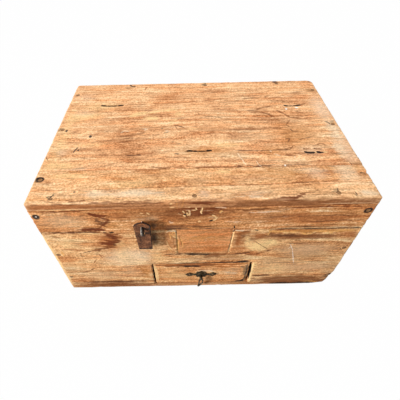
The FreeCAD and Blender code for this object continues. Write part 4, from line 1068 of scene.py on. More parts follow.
# The rear board: black slits of painted shade, worm tracks on the right, a wandering rust band and an end rubbed
# pale.
REAR_BOARD_MARKS = (
    wash(RUST, (-61, 132), (48, 19), 0.55),
    wash(STRAW, (-252, 61), (41, 13), 0.92),  # bleached
    wash(STRAW, (-281, -28), (15, 139), 0.43),  # the left edge, bleached
    wash(STRAW, (-263, -109), (42, 11), 0.73),  # bleached low on the left
    Mark(COAL_AND_SHADOW, (-245, -62), (11, 1.5), 1, turn=70, soft=0.3, frayed=False),  # a knife cut
    Mark(COAL_AND_SHADOW, (-239, -63), (2, 2.8), 0.98, soft=0.3, frayed=False),  # a speck
    Mark(COAL_AND_SHADOW, (-279, 4), (3, 4.6), 0.98, soft=0.3, frayed=False),  # a speck
    Mark(COAL_AND_SHADOW, (-224, -18), (3.4, 5), 0.98, soft=0.3, frayed=False),  # a speck
    Mark(COAL_AND_SHADOW, (-140, -137), (2, 2.6), 0.98, soft=0.3, frayed=False),  # a worm hole
    Mark(GREY, (-292, 8), (7.6, 7.3), 0.73, soft=0.48),  # about the side nail
    Mark(CRACK_AND_SHADE, (-297, -83), (12, 1.2), 0.98, turn=-61, soft=0.3, frayed=False),  # a crack in from the edge
    wash(CLAY, (-166, 183), (12, 10), 0.73),  # rust about the first nail
    Mark(COAL_AND_SHADOW, (-161, 195), (9, 2.2), 1, turn=-53, soft=0.3, frayed=False),  # the first nail
    Mark(RUST, (-123, 180), (9, 2.2), 0.85, turn=74, frayed=False),
    Mark(GREY, (26, 195), (7.6, 6.9), 0.92, soft=0.42),  # the second nail
    Mark(CRACK_AND_SHADE, (208, 200), (9, 6.4), 0.98),  # the third nail
    Mark(CLAY, (283, 155), (17, 7.9), 0.85, soft=0.48),  # rust about the corner nail
    wash(RUST, (184, -37), (10, 51), 0.49),  # a ragged band
    wash(HONEY, (201, -28), (53, 55), 0.49),  # mottling on the right
    wash(PINK, (284, 72), (22, 60), 0.95),  # the right end, rubbed pale
    wash(CREAM, (285, -24), (16, 56), 0.85),
    wash(PINK, (286, -86), (17, 36), 0.79),
    # Open end grain.
    *(Mark(CLAY, (x, y), (25, half), 0.67, soft=0.42) for x, y, half in (
        (275, -16, 1.8), (275, -28, 1.7), (275, -43, 1.7), (274, -61, 1.6), (274, -75, 1.5), (274, -91, 1.5))),
    wash(STRAW, (52, -56), (36, 10), 0.61),  # pale in the middle
    Mark(UMBER, (169, -92), (13, 3.6), 0.73, soft=0.42),  # dark spots
    wash(STRAW, (-222, 98), (52, 22), 0.5),
    Mark(RUST, (-183, 7.8), (35, 13), 0.32, soft=0.9),
    Mark(RUST, (-118, 5.4), (26, 13), 0.34, soft=0.9),
    Mark(RUST, (98, -33), (61, 14), 0.36, soft=0.9),
    Mark(CLAY, (16, 0.4), (53, 12), 0.3, soft=0.9),
    Mark(RUST, (-96, -76), (31, 12), 0.4, soft=0.9),
    Mark(CLAY, (36, -80), (58, 11), 0.36, soft=0.9),
    Mark(CREAM, (-271, 141), (32, 19), 0.38, soft=0.9),
    Mark(CREAM, (-256, 69), (28, 17), 0.36, soft=0.9),
    Mark(CREAM, (219, -77), (31, 19), 0.42, soft=0.9),
    Mark(SAND, (206, 23), (30, 15), 0.42, soft=0.9),
    Mark(CREAM, (-270, -70), (14, 12), 0.4, soft=0.9),
    Mark(CREAM, (-223, -121), (22, 9.6), 0.36, soft=0.9),
    Mark(CREAM, (276, -88), (11, 15), 0.4, soft=0.9),
    Mark(STRAW, (-215, -46), (29, 9.8), 0.3, soft=0.9),
    wash(STRAW, (-270, 49), (29, 16), 0.5),
    Mark(RUST, (-101, 2.9), (96, 12), 0.4, soft=0.8),
    Mark(RUST, (110, -4.9), (115, 12), 0.4, soft=0.8),
    wash(HONEY, (12, -73), (59, 14), 0.45),
    wash(HONEY, (142, -78), (27, 15), 0.5),
    # The slits' black is painted shade, drawn as strokes where the slits show.
    *trail(SOOT_AND_SHADE, 3.3, 1, (-221, 103), (-209, 101), (-197, 100), (-183, 101), (-171, 103), soft=0.2, frayed=False),
    *trail(SOOT_AND_SHADE, 2.7, 1, (-22, -71), (-12, -73), (-0.2, -74), (12, -74), (24, -72), soft=0.2, frayed=False),
    *trail(SOOT_AND_SHADE, 3, 1, (203, 86), (211, 84), soft=0.2, frayed=False),
    *trail(SOOT_AND_SHADE, 2.1, 1, (211, 84), (223, 83.5), (229, 84), soft=0.2, frayed=False),
    *trail(SOOT_AND_SHADE, 3.2, 1, (229, 84.4), (241, 87), soft=0.2, frayed=False),
    *trail(SOOT_AND_SHADE, 3.3, 1, (204, -83), (209, -85), (215, -86), (221, -85), soft=0.2, frayed=False),
    *trail(SOOT_AND_SHADE, 3.8, 1, (228, -84), (233, -85), soft=0.2, frayed=False),
    *trail(SOOT_AND_SHADE, 2.1, 1, (232, -85), (239, -85), soft=0.2, frayed=False),
    *scratch(UMBER, 1.9, 0.8, (241, 87), (256, 95)),
    *scratch(ORANGE, 2.2, 0.8, (240, 83), (245, 85)),
    *trail(RUST, 4, 0.65, (-169, 105), (-108, 105), (-49, 108), (10, 112), (88, 128)),
    Mark(STRAW, (-99, 45), (20, 8.7), 0.95, soft=0.5),
    *trail(STRAW, 7.6, 0.8, (-147, 55), (-135, 64), (-115, 70)),
    *trail(STRAW, 6.6, 0.7, (-105, 67), (-83, 75), (-49, 78)),
    *trail(STRAW, 3.3, 0.75, (-61, 14), (-55, 29), (-46, 41)),
    Mark(STRAW, (-42, 61), (9, 12), 0.6, soft=0.6),
    Mark(STRAW, (-7.5, 1.6), (11, 2.9), 0.7),
    *trail(RUST, 2.7, 0.7, (-116, 59), (-94, 63), (-71, 60), (-51, 49)),
    *scratch(CRACK_AND_SHADE, 2, 0.85, (-48, 16), (-42, 14), (-29, 7.5)),
    *scratch(UMBER, 1.2, 0.7, (-47, 14), (-43, 0.7), (-35, -5)),
    *trail(UMBER, 1.8, 0.6, (-0.8, 67), (14, 50), (34, 47), (55, 39), (75, 32)),
    *scratch(CREAM, 2.4, 0.75, (-162, -7.5), (-156, -0.5), (-145, -3.1)),
    Mark(CREAM, (-110, 3.2), (4.7, 4), 0.7, soft=0.5),
    Mark(CREAM, (-65, -3.9), (4.7, 4.3), 0.6, soft=0.5),
    Mark(GREY, (-75, 5.6), (2.1, 3.3), 0.8, frayed=False),
    *scratch(COAL_AND_SHADOW, 1.7, 0.7, (-71, -11), (-62, -9)),
    Mark(GOLD, (-95, -36), (2, 2.3), 0.9, frayed=False),
    Mark(RUST, (-158, -22), (42, 28), 0.4, soft=0.9),
    Mark(RUST, (-134, -65), (30, 38), 0.3, soft=0.9),
    *trail(UMBER, 2.4, 0.55, (-191, -34), (-161, -30), (-124, -25)),
    *trail(UMBER, 4.5, 0.55, (-170, -19), (-141, -19), (-115, -9.2)),
    *trail(UMBER, 2, 0.6, (-183, -42), (-129, -36)),
    *trail(CRACK_AND_SHADE, 2.4, 0.8, (-142, -81), (-126, -83), (-111, -81)),
    *trail(UMBER, 1.8, 0.55, (-207, -80), (-140, -83)),
    *trail(UMBER, 1.5, 0.5, (-152, -95), (-104, -94)),
    *trail(UMBER, 1.5, 0.6, (-66, -91), (1, -93), (60, -92)),
    *trail(UMBER, 2.2, 0.65, (-93, -119), (-28, -120), (57, -121)),
    *trail(COAL_AND_SHADOW, 2.4, 0.7, (-47, -79), (-40, -81), soft=0.5, frayed=False),
    *trail(GREY, 2.5, 0.55, (-53, -42), (-45, -46), (-31, -48)),
    Mark(RUST, (148, 65), (27, 12), 0.5, soft=0.8),
    *trail(UMBER, 3.9, 0.8, (115, 68), (136, 70), (151, 80), (175, 85), soft=0.8, frayed=False),
    *trail(UMBER, 4.1, 0.85, (119, 62), (143, 61), (159, 53), (168, 42), soft=0.8, frayed=False),
    *trail(UMBER, 3.6, 0.85, (181, 68), (195, 51), (205, 37), (228, 32), soft=0.8, frayed=False),
    *trail(UMBER, 2.4, 0.7, (202, 27), (189, 8.6), (196, 0.9), soft=0.7, frayed=False),
    *trail(UMBER, 3, 0.6, (86, 109), (105, 115), (121, 124), (159, 122), (180, 133), soft=0.8),
    *trail(RUST, 2.8, 0.5, (218, 138), (267, 141)),
    Mark(CHALK_AND_HIGHLIGHT, (205, 72), (2.7, 4.2), 1, frayed=False),
    Mark(CHALK_AND_HIGHLIGHT, (229, 76), (4.1, 3.8), 1, frayed=False),
    *trail(UMBER, 2.6, 0.75, (222, 62), (239, 51), soft=0.7, frayed=False),
    *trail(CRACK_AND_SHADE, 2, 0.75, (194, -6.3), (198, -15), (211, -14), soft=0.6, frayed=False),
    *trail(CRACK_AND_SHADE, 1.9, 0.75, (178, -39), (186, -40), (179, -50), soft=0.6, frayed=False),
    *trail(CRACK_AND_SHADE, 1.9, 0.75, (203, -44), (214, -40), (229, -37), soft=0.6, frayed=False),
    *trail(UMBER, 1.9, 0.75, (167, -71), (177, -74), (186, -64), soft=0.6, frayed=False),
    *trail(UMBER, 2.4, 0.6, (162, -91), (173, -94)),
    *trail(UMBER, 1.8, 0.6, (73, 3.7), (136, -0.5), (178, -2)),
    *trail(UMBER, 2.9, 0.6, (73, -3.9), (148, -6.3)),
    *trail(UMBER, 2.2, 0.6, (176, -23), (189, -20)),
    *trail(UMBER, 2.2, 0.75, (232, -62), (241, -57), (251, -63), soft=0.6, frayed=False),
    *trail(CRACK_AND_SHADE, 1.9, 0.75, (64, -73), (123, -76), (173, -75)),
    *trail(CRACK_AND_SHADE, 1.7, 0.8, (59, -119), (92, -120), (139, -119), (185, -120), (209, -118)),
    Mark(STRAW, (225, -84), (1.5, 3), 1, frayed=False),
    *scratch(STRAW, 2.5, 0.95, (240, -84), (246, -85)),
    *crack(CREAM, 1.2, 0.9, (74, -82), (77, -92), (86, -118)),
    *crack(CREAM, 1, 0.8, (106, -106), (109, -118), (114, -122)),
    *crack(CREAM, 1.2, 0.8, (138, -76), (140, -81)),
    *crack(CREAM, 1.7, 0.7, (145, -87), (154, -93)),
    Mark(CHALK_AND_HIGHLIGHT, (157, -121), (2, 3.3), 1, frayed=False),
    Mark(CREAM, (181, -97), (1.5, 2.4), 0.8, frayed=False),
    Mark(CREAM, (189, -105), (1.7, 2.3), 0.7, frayed=False),
    Mark(CREAM, (272, -70), (12, 20), 0.75, soft=0.75),
    wash(PINK, (285, 68), (16, 17), 0.65),
    *trail(CREAM, 3, 0.75, (273, 73), (293, 81), (304, 72)),
    *scratch(COAL_AND_SHADOW, 1.9, 0.85, (276, 18), (281, 14), (283, 8.7)),
    Mark(GREY, (290, 16), (8.5, 7.6), 0.55, soft=0.75),
    *scratch(GOLD, 2.2, 0.7, (286, 11), (297, 11)),
    Mark(CLAY, (290, -121), (13, 7), 0.75, soft=0.7),
    *scratch(CRACK_AND_SHADE, 1, 0.75, (277, -115), (281, -125)),
    *scratch(COAL_AND_SHADOW, 1.4, 0.8, (297, -105), (301, -105)),
)

# The middle board: long dark streaks and pale rubbed ones.
MIDDLE_BOARD_MARKS = (
    wash(RUST, (-98, -122), (28, 10), 0.67),  # a rust stain
    Mark(SOOT_AND_SHADE, (-291, -145), (10, 7.3), 1, soft=0.21, frayed=False),  # the black knot
    Mark(STRAW, (39, -135), (16, 6.4), 0.73, soft=0.42),  # bleached
    Mark(STRAW, (-237, -137), (40, 7.9), 0.61, soft=0.48),  # pale on the left
    wash(RUST, (184, -155), (14, 10), 0.61),  # dark on the right
    wash(CLAY, (-7, -157), (25, 10), 0.61),  # dark in the middle
    wash(HONEY, (129, -140), (75, 12), 0.5),
    wash(STRAW, (-126, -161), (46, 12), 0.5),
    wash(CREAM, (262, -142), (23, 35), 0.6),
    wash(PINK, (210, -145), (21, 16), 0.5),
    Mark(RUST, (-111, -122), (37, 12), 0.46, soft=0.9),
    Mark(RUST, (87, -152), (53, 10), 0.42, soft=0.9),
    Mark(CREAM, (199, -134), (32, 9.4), 0.48, soft=0.9),
    *trail(UMBER, 0.9, 0.65, (180, -162), (188, -152), (193, -149), (200, -142)),
    *trail(UMBER, 1.5, 0.7, (155, -167), (199, -164), (243, -164)),
)

# The strip at the front: knots, pale scuffs and the dirt of its seam.
FRONT_STRIP_MARKS = (
    Mark(GREY, (-258, -189), (11, 3), 0.98, turn=56, soft=0.42),  # a smear
    Mark(COAL_AND_SHADOW, (-258, -190), (7.3, 1.6), 0.85, turn=59, frayed=False),  # a smear
    Mark(COAL_AND_SHADOW, (-220, -178), (2.6, 1.9), 0.85, frayed=False),  # a knot
    wash(CREAM, (-114, -184), (55, 11), 0.92),  # bare pale wood
    wash(PINK, (5, -188), (12, 9), 0.98),  # bare pale wood
    Mark(CREAM, (87, -196), (13, 4.6), 0.85, soft=0.48),  # a white scuff
    wash(CREAM, (279, -194), (18, 9), 0.92),  # the scuff's end
    Mark(COAL_AND_SHADOW, (259, -195), (4.6, 1.2), 0.85, turn=88, frayed=False),  # a black spot
    wash(CREAM, (-183, -183), (24, 11), 0.75),
    wash(RUST, (81, -193), (45, 10), 0.5),
    Mark(CLAY, (17, -188), (37, 6.1), 0.4, soft=0.9),
    Mark(CREAM, (95, -189), (25, 5.6), 0.42, soft=0.9),
    Mark(CLAY, (199, -191), (33, 5.8), 0.4, soft=0.9),
    Mark(RUST, (-21, -203), (43, 3.4), 0.5, soft=0.9),
    *trail(RUST, 1.5, 0.65, (53, -170), (102, -169), (143, -166)),
    *scratch(COAL_AND_SHADOW, 1, 0.95, (232, -181), (231, -189), (230, -193)),
    Mark(GREY, (228, -187), (5.4, 5.7), 0.5, soft=0.8),
    Mark(RUST, (232, -199), (7.4, 3.4), 0.6, soft=0.7),
    *scratch(GREY, 0.9, 0.85, (255, -195), (258, -202)),
    *trail(STAIN, 2.3, 0.8, (152, -203), (164, -198), (172, -193)),
    *trail(UMBER, 1.9, 0.7, (170, -193), (186, -190)),
    *trail(UMBER, 1.5, 0.7, (197, -182), (202, -190)),
    *trail(CREAM, 1.4, 0.6, (50, -197), (80, -195), (96, -200)),
)

# The strip's front edge: fresh yellow lines between dark ones.
STRIP_EDGE_MARKS = (
    Mark(RUST, (0, 287), (400, 17), 0.78, soft=0.4, depth=6.0),
    Mark(UMBER, (170, 291), (140, 7), 0.61, soft=0.36),
    Mark(RUST, (-240, 292), (75, 7.7), 0.73, soft=0.3),  # the left part of the edge
    Mark(STAIN, (-158, 298), (138, 1.8), 0.73, soft=0.42),  # a dark line
    Mark(UMBER, (-147, 290), (126, 1.5), 0.73, soft=0.42),  # a dark line
    Mark(UMBER, (167, 281), (82, 7.8), 0.4, soft=0.7),
    *trail(ORANGE, 5.9, 0.7, (-73, 276), (-45, 276), (-17, 273), soft=0.5),
    Mark(STRAW, (-238, 284), (55, 1.3), 1, soft=0.3, frayed=False),  # a fresh yellow line
    Mark(STAIN, (3, 295), (34, 4.5), 0.92, soft=0.42),  # a dark red streak
    Mark(STAIN, (137, 298), (34, 2.5), 0.85, soft=0.42),  # dark on the right
    Mark(UMBER, (64, 284), (68, 2.1), 0.85),  # an orange line
    Mark(SAND, (246, 287), (50, 1.3), 0.85, frayed=False),  # a fresh yellow line
    Mark(STAIN, (247, 283), (51, 1.8), 0.98),  # a dark line
    *crack(STRAW, 1.6, 0.9, (-54, 294), (-51, 295)),
    *crack(STRAW, 1.6, 0.8, (-55, 285), (-48, 285)),
    *crack(STRAW, 1.4, 0.8, (-31, 282), (-24, 283), (-21, 285)),
    *crack(STRAW, 1.3, 0.8, (22, 283), (34, 283)),
    *trail(HONEY, 1.2, 0.7, (-43, 301), (-43, 289), (-42, 278), soft=0.5, frayed=False),
    *trail(HONEY, 1.2, 0.7, (-31, 301), (-34, 288), (-35, 283), soft=0.5, frayed=False),
)

# The front rail: dark red, black at its middle, with pale splinters, the white tracks of worms, and the strap's
# painted shadow with painted light beside its head.
FRONT_RAIL_MARKS = (
    Mark(SOOT_AND_SHADE, (-290, 266.5), (7, 7.6), 1, soft=0.25, frayed=False),
    Mark(SOOT_AND_SHADE, (289, 266.5), (8.5, 7.5), 1, turn=25, soft=0.24, frayed=False),
    Mark(STAIN, (-242, 280), (53, 1.6), 0.98),  # dirt under the boards
    Mark(UMBER, (82, 275), (86, 2.4), 0.92),  # dirt under the boards
    Mark(STAIN, (208, 279), (92, 1.8), 0.85),  # dirt under the boards
    wash(UMBER, (-38, 273), (107, 24), 0.73),  # the dark middle
    wash(STAIN, (5, 277), (58, 11), 0.61),  # its deepest part
    wash(SAND, (-248, 254), (49, 23), 0.73),  # grey on the left
    wash(RUST, (175, 249), (134, 17), 0.61),  # the right part
    wash(RUST, (-140, 265), (24, 11), 0.79),  # orange beside the stain
    wash(HONEY, (-161, 237), (16, 12), 0.49),  # orange in the stain
    Mark(PINK, (107, 268), (31, 1.9), 0.92),  # a pale line
    Mark(SAND, (-110, 254), (14, 2.6), 0.73, soft=0.42),  # a line above the hasp
    wash(UMBER, (-180, 249), (16, 14), 0.5),
    wash(RUST, (2.2, 246), (23, 14), 0.55),
    # painted light, paling the wood right of the strap's head where its shadow falls
    Mark(SAND, (-88, 256), (16, 8.4), 0.6, soft=0.8),
    Mark(UMBER, (216, 226), (82, 6), 0.45, soft=0.9),
    Mark(SAND, (27, 224), (33, 6), 0.45, soft=0.9),
    *trail(STAIN, 3, 0.85, (-197, 274), (-193, 272), (-186, 269)),
    Mark(STAIN, (-187, 268), (7.8, 4.1), 0.85),
    *trail(STAIN, 3.2, 0.9, (-187, 265), (-176, 267), (-168, 264)),
    *trail(UMBER, 2.2, 0.65, (-168, 264), (-154, 262), (-132, 260)),
    Mark(SAND, (-175, 258), (7.9, 3.1), 0.6),
    *trail(CRACK_AND_SHADE, 3.5, 0.8, (-190, 259), (-185, 252), (-179, 248)),
    *trail(CRACK_AND_SHADE, 3.4, 0.8, (-181, 245), (-172, 246), (-163, 246)),
    *trail(UMBER, 3.3, 0.75, (-189, 243), (-177, 240), (-172, 236)),
    *trail(CRACK_AND_SHADE, 2.1, 0.7, (-179, 237), (-168, 236)),
    *trail(UMBER, 2.1, 0.55, (-216, 234), (-189, 234)),
    *trail(CRACK_AND_SHADE, 3.6, 0.95, (-222, 227), (-205, 229), (-184, 229)),
    *trail(STAIN, 3, 0.95, (-199, 223), (-191, 224), (-180, 222)),
    *trail(UMBER, 1.8, 0.6, (-232, 225), (-212, 227)),
    Mark(STAIN, (-1.8, 268), (17, 8.7), 0.7, soft=0.7),
    *trail(CRACK_AND_SHADE, 3.6, 0.6, (1.7, 267), (12, 264)),
    *crack(STRAW, 1.2, 0.9, (-13, 285), (-11, 281), (-8.9, 278)),
    *crack(STRAW, 1.6, 0.8, (-11, 277), (-16, 276)),
    *crack(STRAW, 1.2, 0.95, (-2, 277), (-0.2, 274), (-2.3, 271), (-0.1, 266)),
    *crack(STRAW, 1, 0.8, (1.2, 285), (0.5, 279)),
    *crack(STRAW, 1.3, 0.9, (-33, 275), (-31, 270)),
    *crack(STRAW, 1.5, 0.8, (-26, 272), (-25, 268), (-28, 267)),
    *crack(STRAW, 1.5, 0.9, (-23, 276), (-21, 269), (-24, 263)),
    *crack(STRAW, 1.7, 0.9, (-32, 263), (-30, 260)),
    *crack(STRAW, 1.5, 0.9, (18, 261), (23, 260), (24, 256), (26, 253)),
    *crack(STRAW, 2.3, 1, (20, 247), (23, 250)),
    *crack(STRAW, 1.5, 0.8, (32, 268), (33, 272), (36, 272)),
    *crack(STRAW, 1.7, 0.7, (-5.9, 245), (-3.2, 245)),
    *crack(STRAW, 1.5, 0.85, (-107, 272), (-104, 270)),
    *crack(STRAW, 1.6, 0.9, (-96, 272), (-92, 268)),
    *trail(SAND, 1.3, 0.7, (-0.3, 275), (17, 275)),
    *scratch(SOOT_AND_SHADE, 1.8, 0.9, (-31, 267), (-28, 266)),
    *scratch(COAL_AND_SHADOW, 1.2, 0.7, (-28, 260), (-25, 257)),
    *scratch(CRACK_AND_SHADE, 2, 0.8, (-19, 265), (-17, 267)),
    *scratch(COAL_AND_SHADOW, 1.8, 0.85, (14, 246), (18, 248)),
    *trail(STAIN, 1.8, 0.85, (-45, 280), (-28, 280), (-3.8, 280)),
    *trail(STAIN, 2.1, 0.8, (-24, 283), (-7.2, 281)),
    *trail(STAIN, 1.8, 0.8, (4.7, 280), (34, 280)),
    wash(STAIN, (1.7, 267), (24, 8.7), 0.5),
    *trail(CRACK_AND_SHADE, 2, 0.6, (106, 254), (173, 255), (261, 255)),
    *trail(CRACK_AND_SHADE, 1.8, 0.65, (178, 238), (288, 241)),
    *trail(UMBER, 2.7, 0.7, (-61, 234), (-39, 234), (-10, 233)),
    *trail(COAL_AND_SHADOW, 3, 0.5, (-65, 228), (-47, 227), (-25, 226)),
    Mark(HONEY, (12, 228), (55, 4.2), 0.5, soft=0.5),
    *trail(CRACK_AND_SHADE, 2.2, 0.8, (-40, 222), (-18, 222), (1, 222)),
    *scratch(COAL_AND_SHADOW, 1.1, 0.9, (60, 231), (60, 221)),
    *scratch(SOOT_AND_SHADE, 1.8, 0.95, (151, 221), (181, 223), (211, 222)),
    *trail(GOLD, 1.5, 0.6, (183, 219), (266, 219)),
    *trail(STAIN, 4.5, 0.85, (-196, 273), (-183, 266), (-165, 253)),
    *trail(STAIN, 2.9, 0.75, (-165, 253), (-177, 240), (-191, 230)),
    *trail(STAIN, 4.6, 0.95, (-224, 227), (-201, 227), (-178, 226)),
    *crack(STRAW, 0.9, 0.9, (-34, 275), (-31, 269)),
    *crack(STRAW, 1.6, 1, (-33, 263), (-29, 260)),
    *crack(SAND, 1.2, 0.9, (-28, 277), (-22, 277), (-20, 267), (-22, 261)),
    *crack(STRAW, 0.9, 0.9, (-27, 268), (-25, 262)),
    *crack(STRAW, 1.2, 0.95, (-15, 288), (-11, 283), (-9.9, 278)),
    *scratch(SAND, 1.3, 0.8, (-20, 277), (-11, 277)),
    *crack(STRAW, 1.3, 1, (0.4, 284), (-0.1, 277), (-2.5, 274), (-1.1, 267)),
    *scratch(PINK, 1.5, 0.9, (22, 283), (32, 282), (41, 281)),
    *crack(GOLD, 1.7, 0.95, (31, 269), (32, 273), (35, 273)),
    *crack(STRAW, 1.4, 0.95, (19, 263), (23, 259), (27, 255), (24, 249), (21, 248)),
    *crack(SOOT_AND_SHADE, 2.2, 1, (14, 246), (19, 248)),
    *crack(SOOT_AND_SHADE, 2, 1, (-31, 265), (-28, 266)),
    *scratch(CRACK_AND_SHADE, 1, 0.9, (-26, 274), (-24, 268)),
    *crack(STRAW, 2.3, 0.9, (-5.7, 245), (-2.8, 246)),
    *scratch(PINK, 1.9, 0.8, (-58, 247), (-55, 242), (-52, 244)),
    *trail(SAND, 1.5, 0.7, (-42, 268), (-37, 266)),
    *trail(SAND, 1.4, 0.7, (7.2, 257), (18, 256), (30, 252)),
    *trail(PINK, 2.6, 0.7, (42, 243), (56, 242), (69, 241)),
    *crack(SOOT_AND_SHADE, 1.5, 1, (60, 230), (61, 221)),
    *trail(CRACK_AND_SHADE, 2.1, 0.75, (-67, 233), (-21, 230), (23, 230)),
    *trail(CRACK_AND_SHADE, 2.5, 0.85, (-67, 224), (-21, 222), (38, 222)),
    # the strap's painted shadow on the rail, right of it
    Mark(COAL_AND_SHADOW, (-87, 236), (7.3, 10), 0.75, soft=0.8, frayed=False),
    *trail(SOOT_AND_SHADE, 1.9, 0.8, (164, 218), (201, 218), (257, 217), (296, 217)),
    *trail(PINK, 1.6, 0.8, (161, 215), (202, 215), (258, 215)),
)

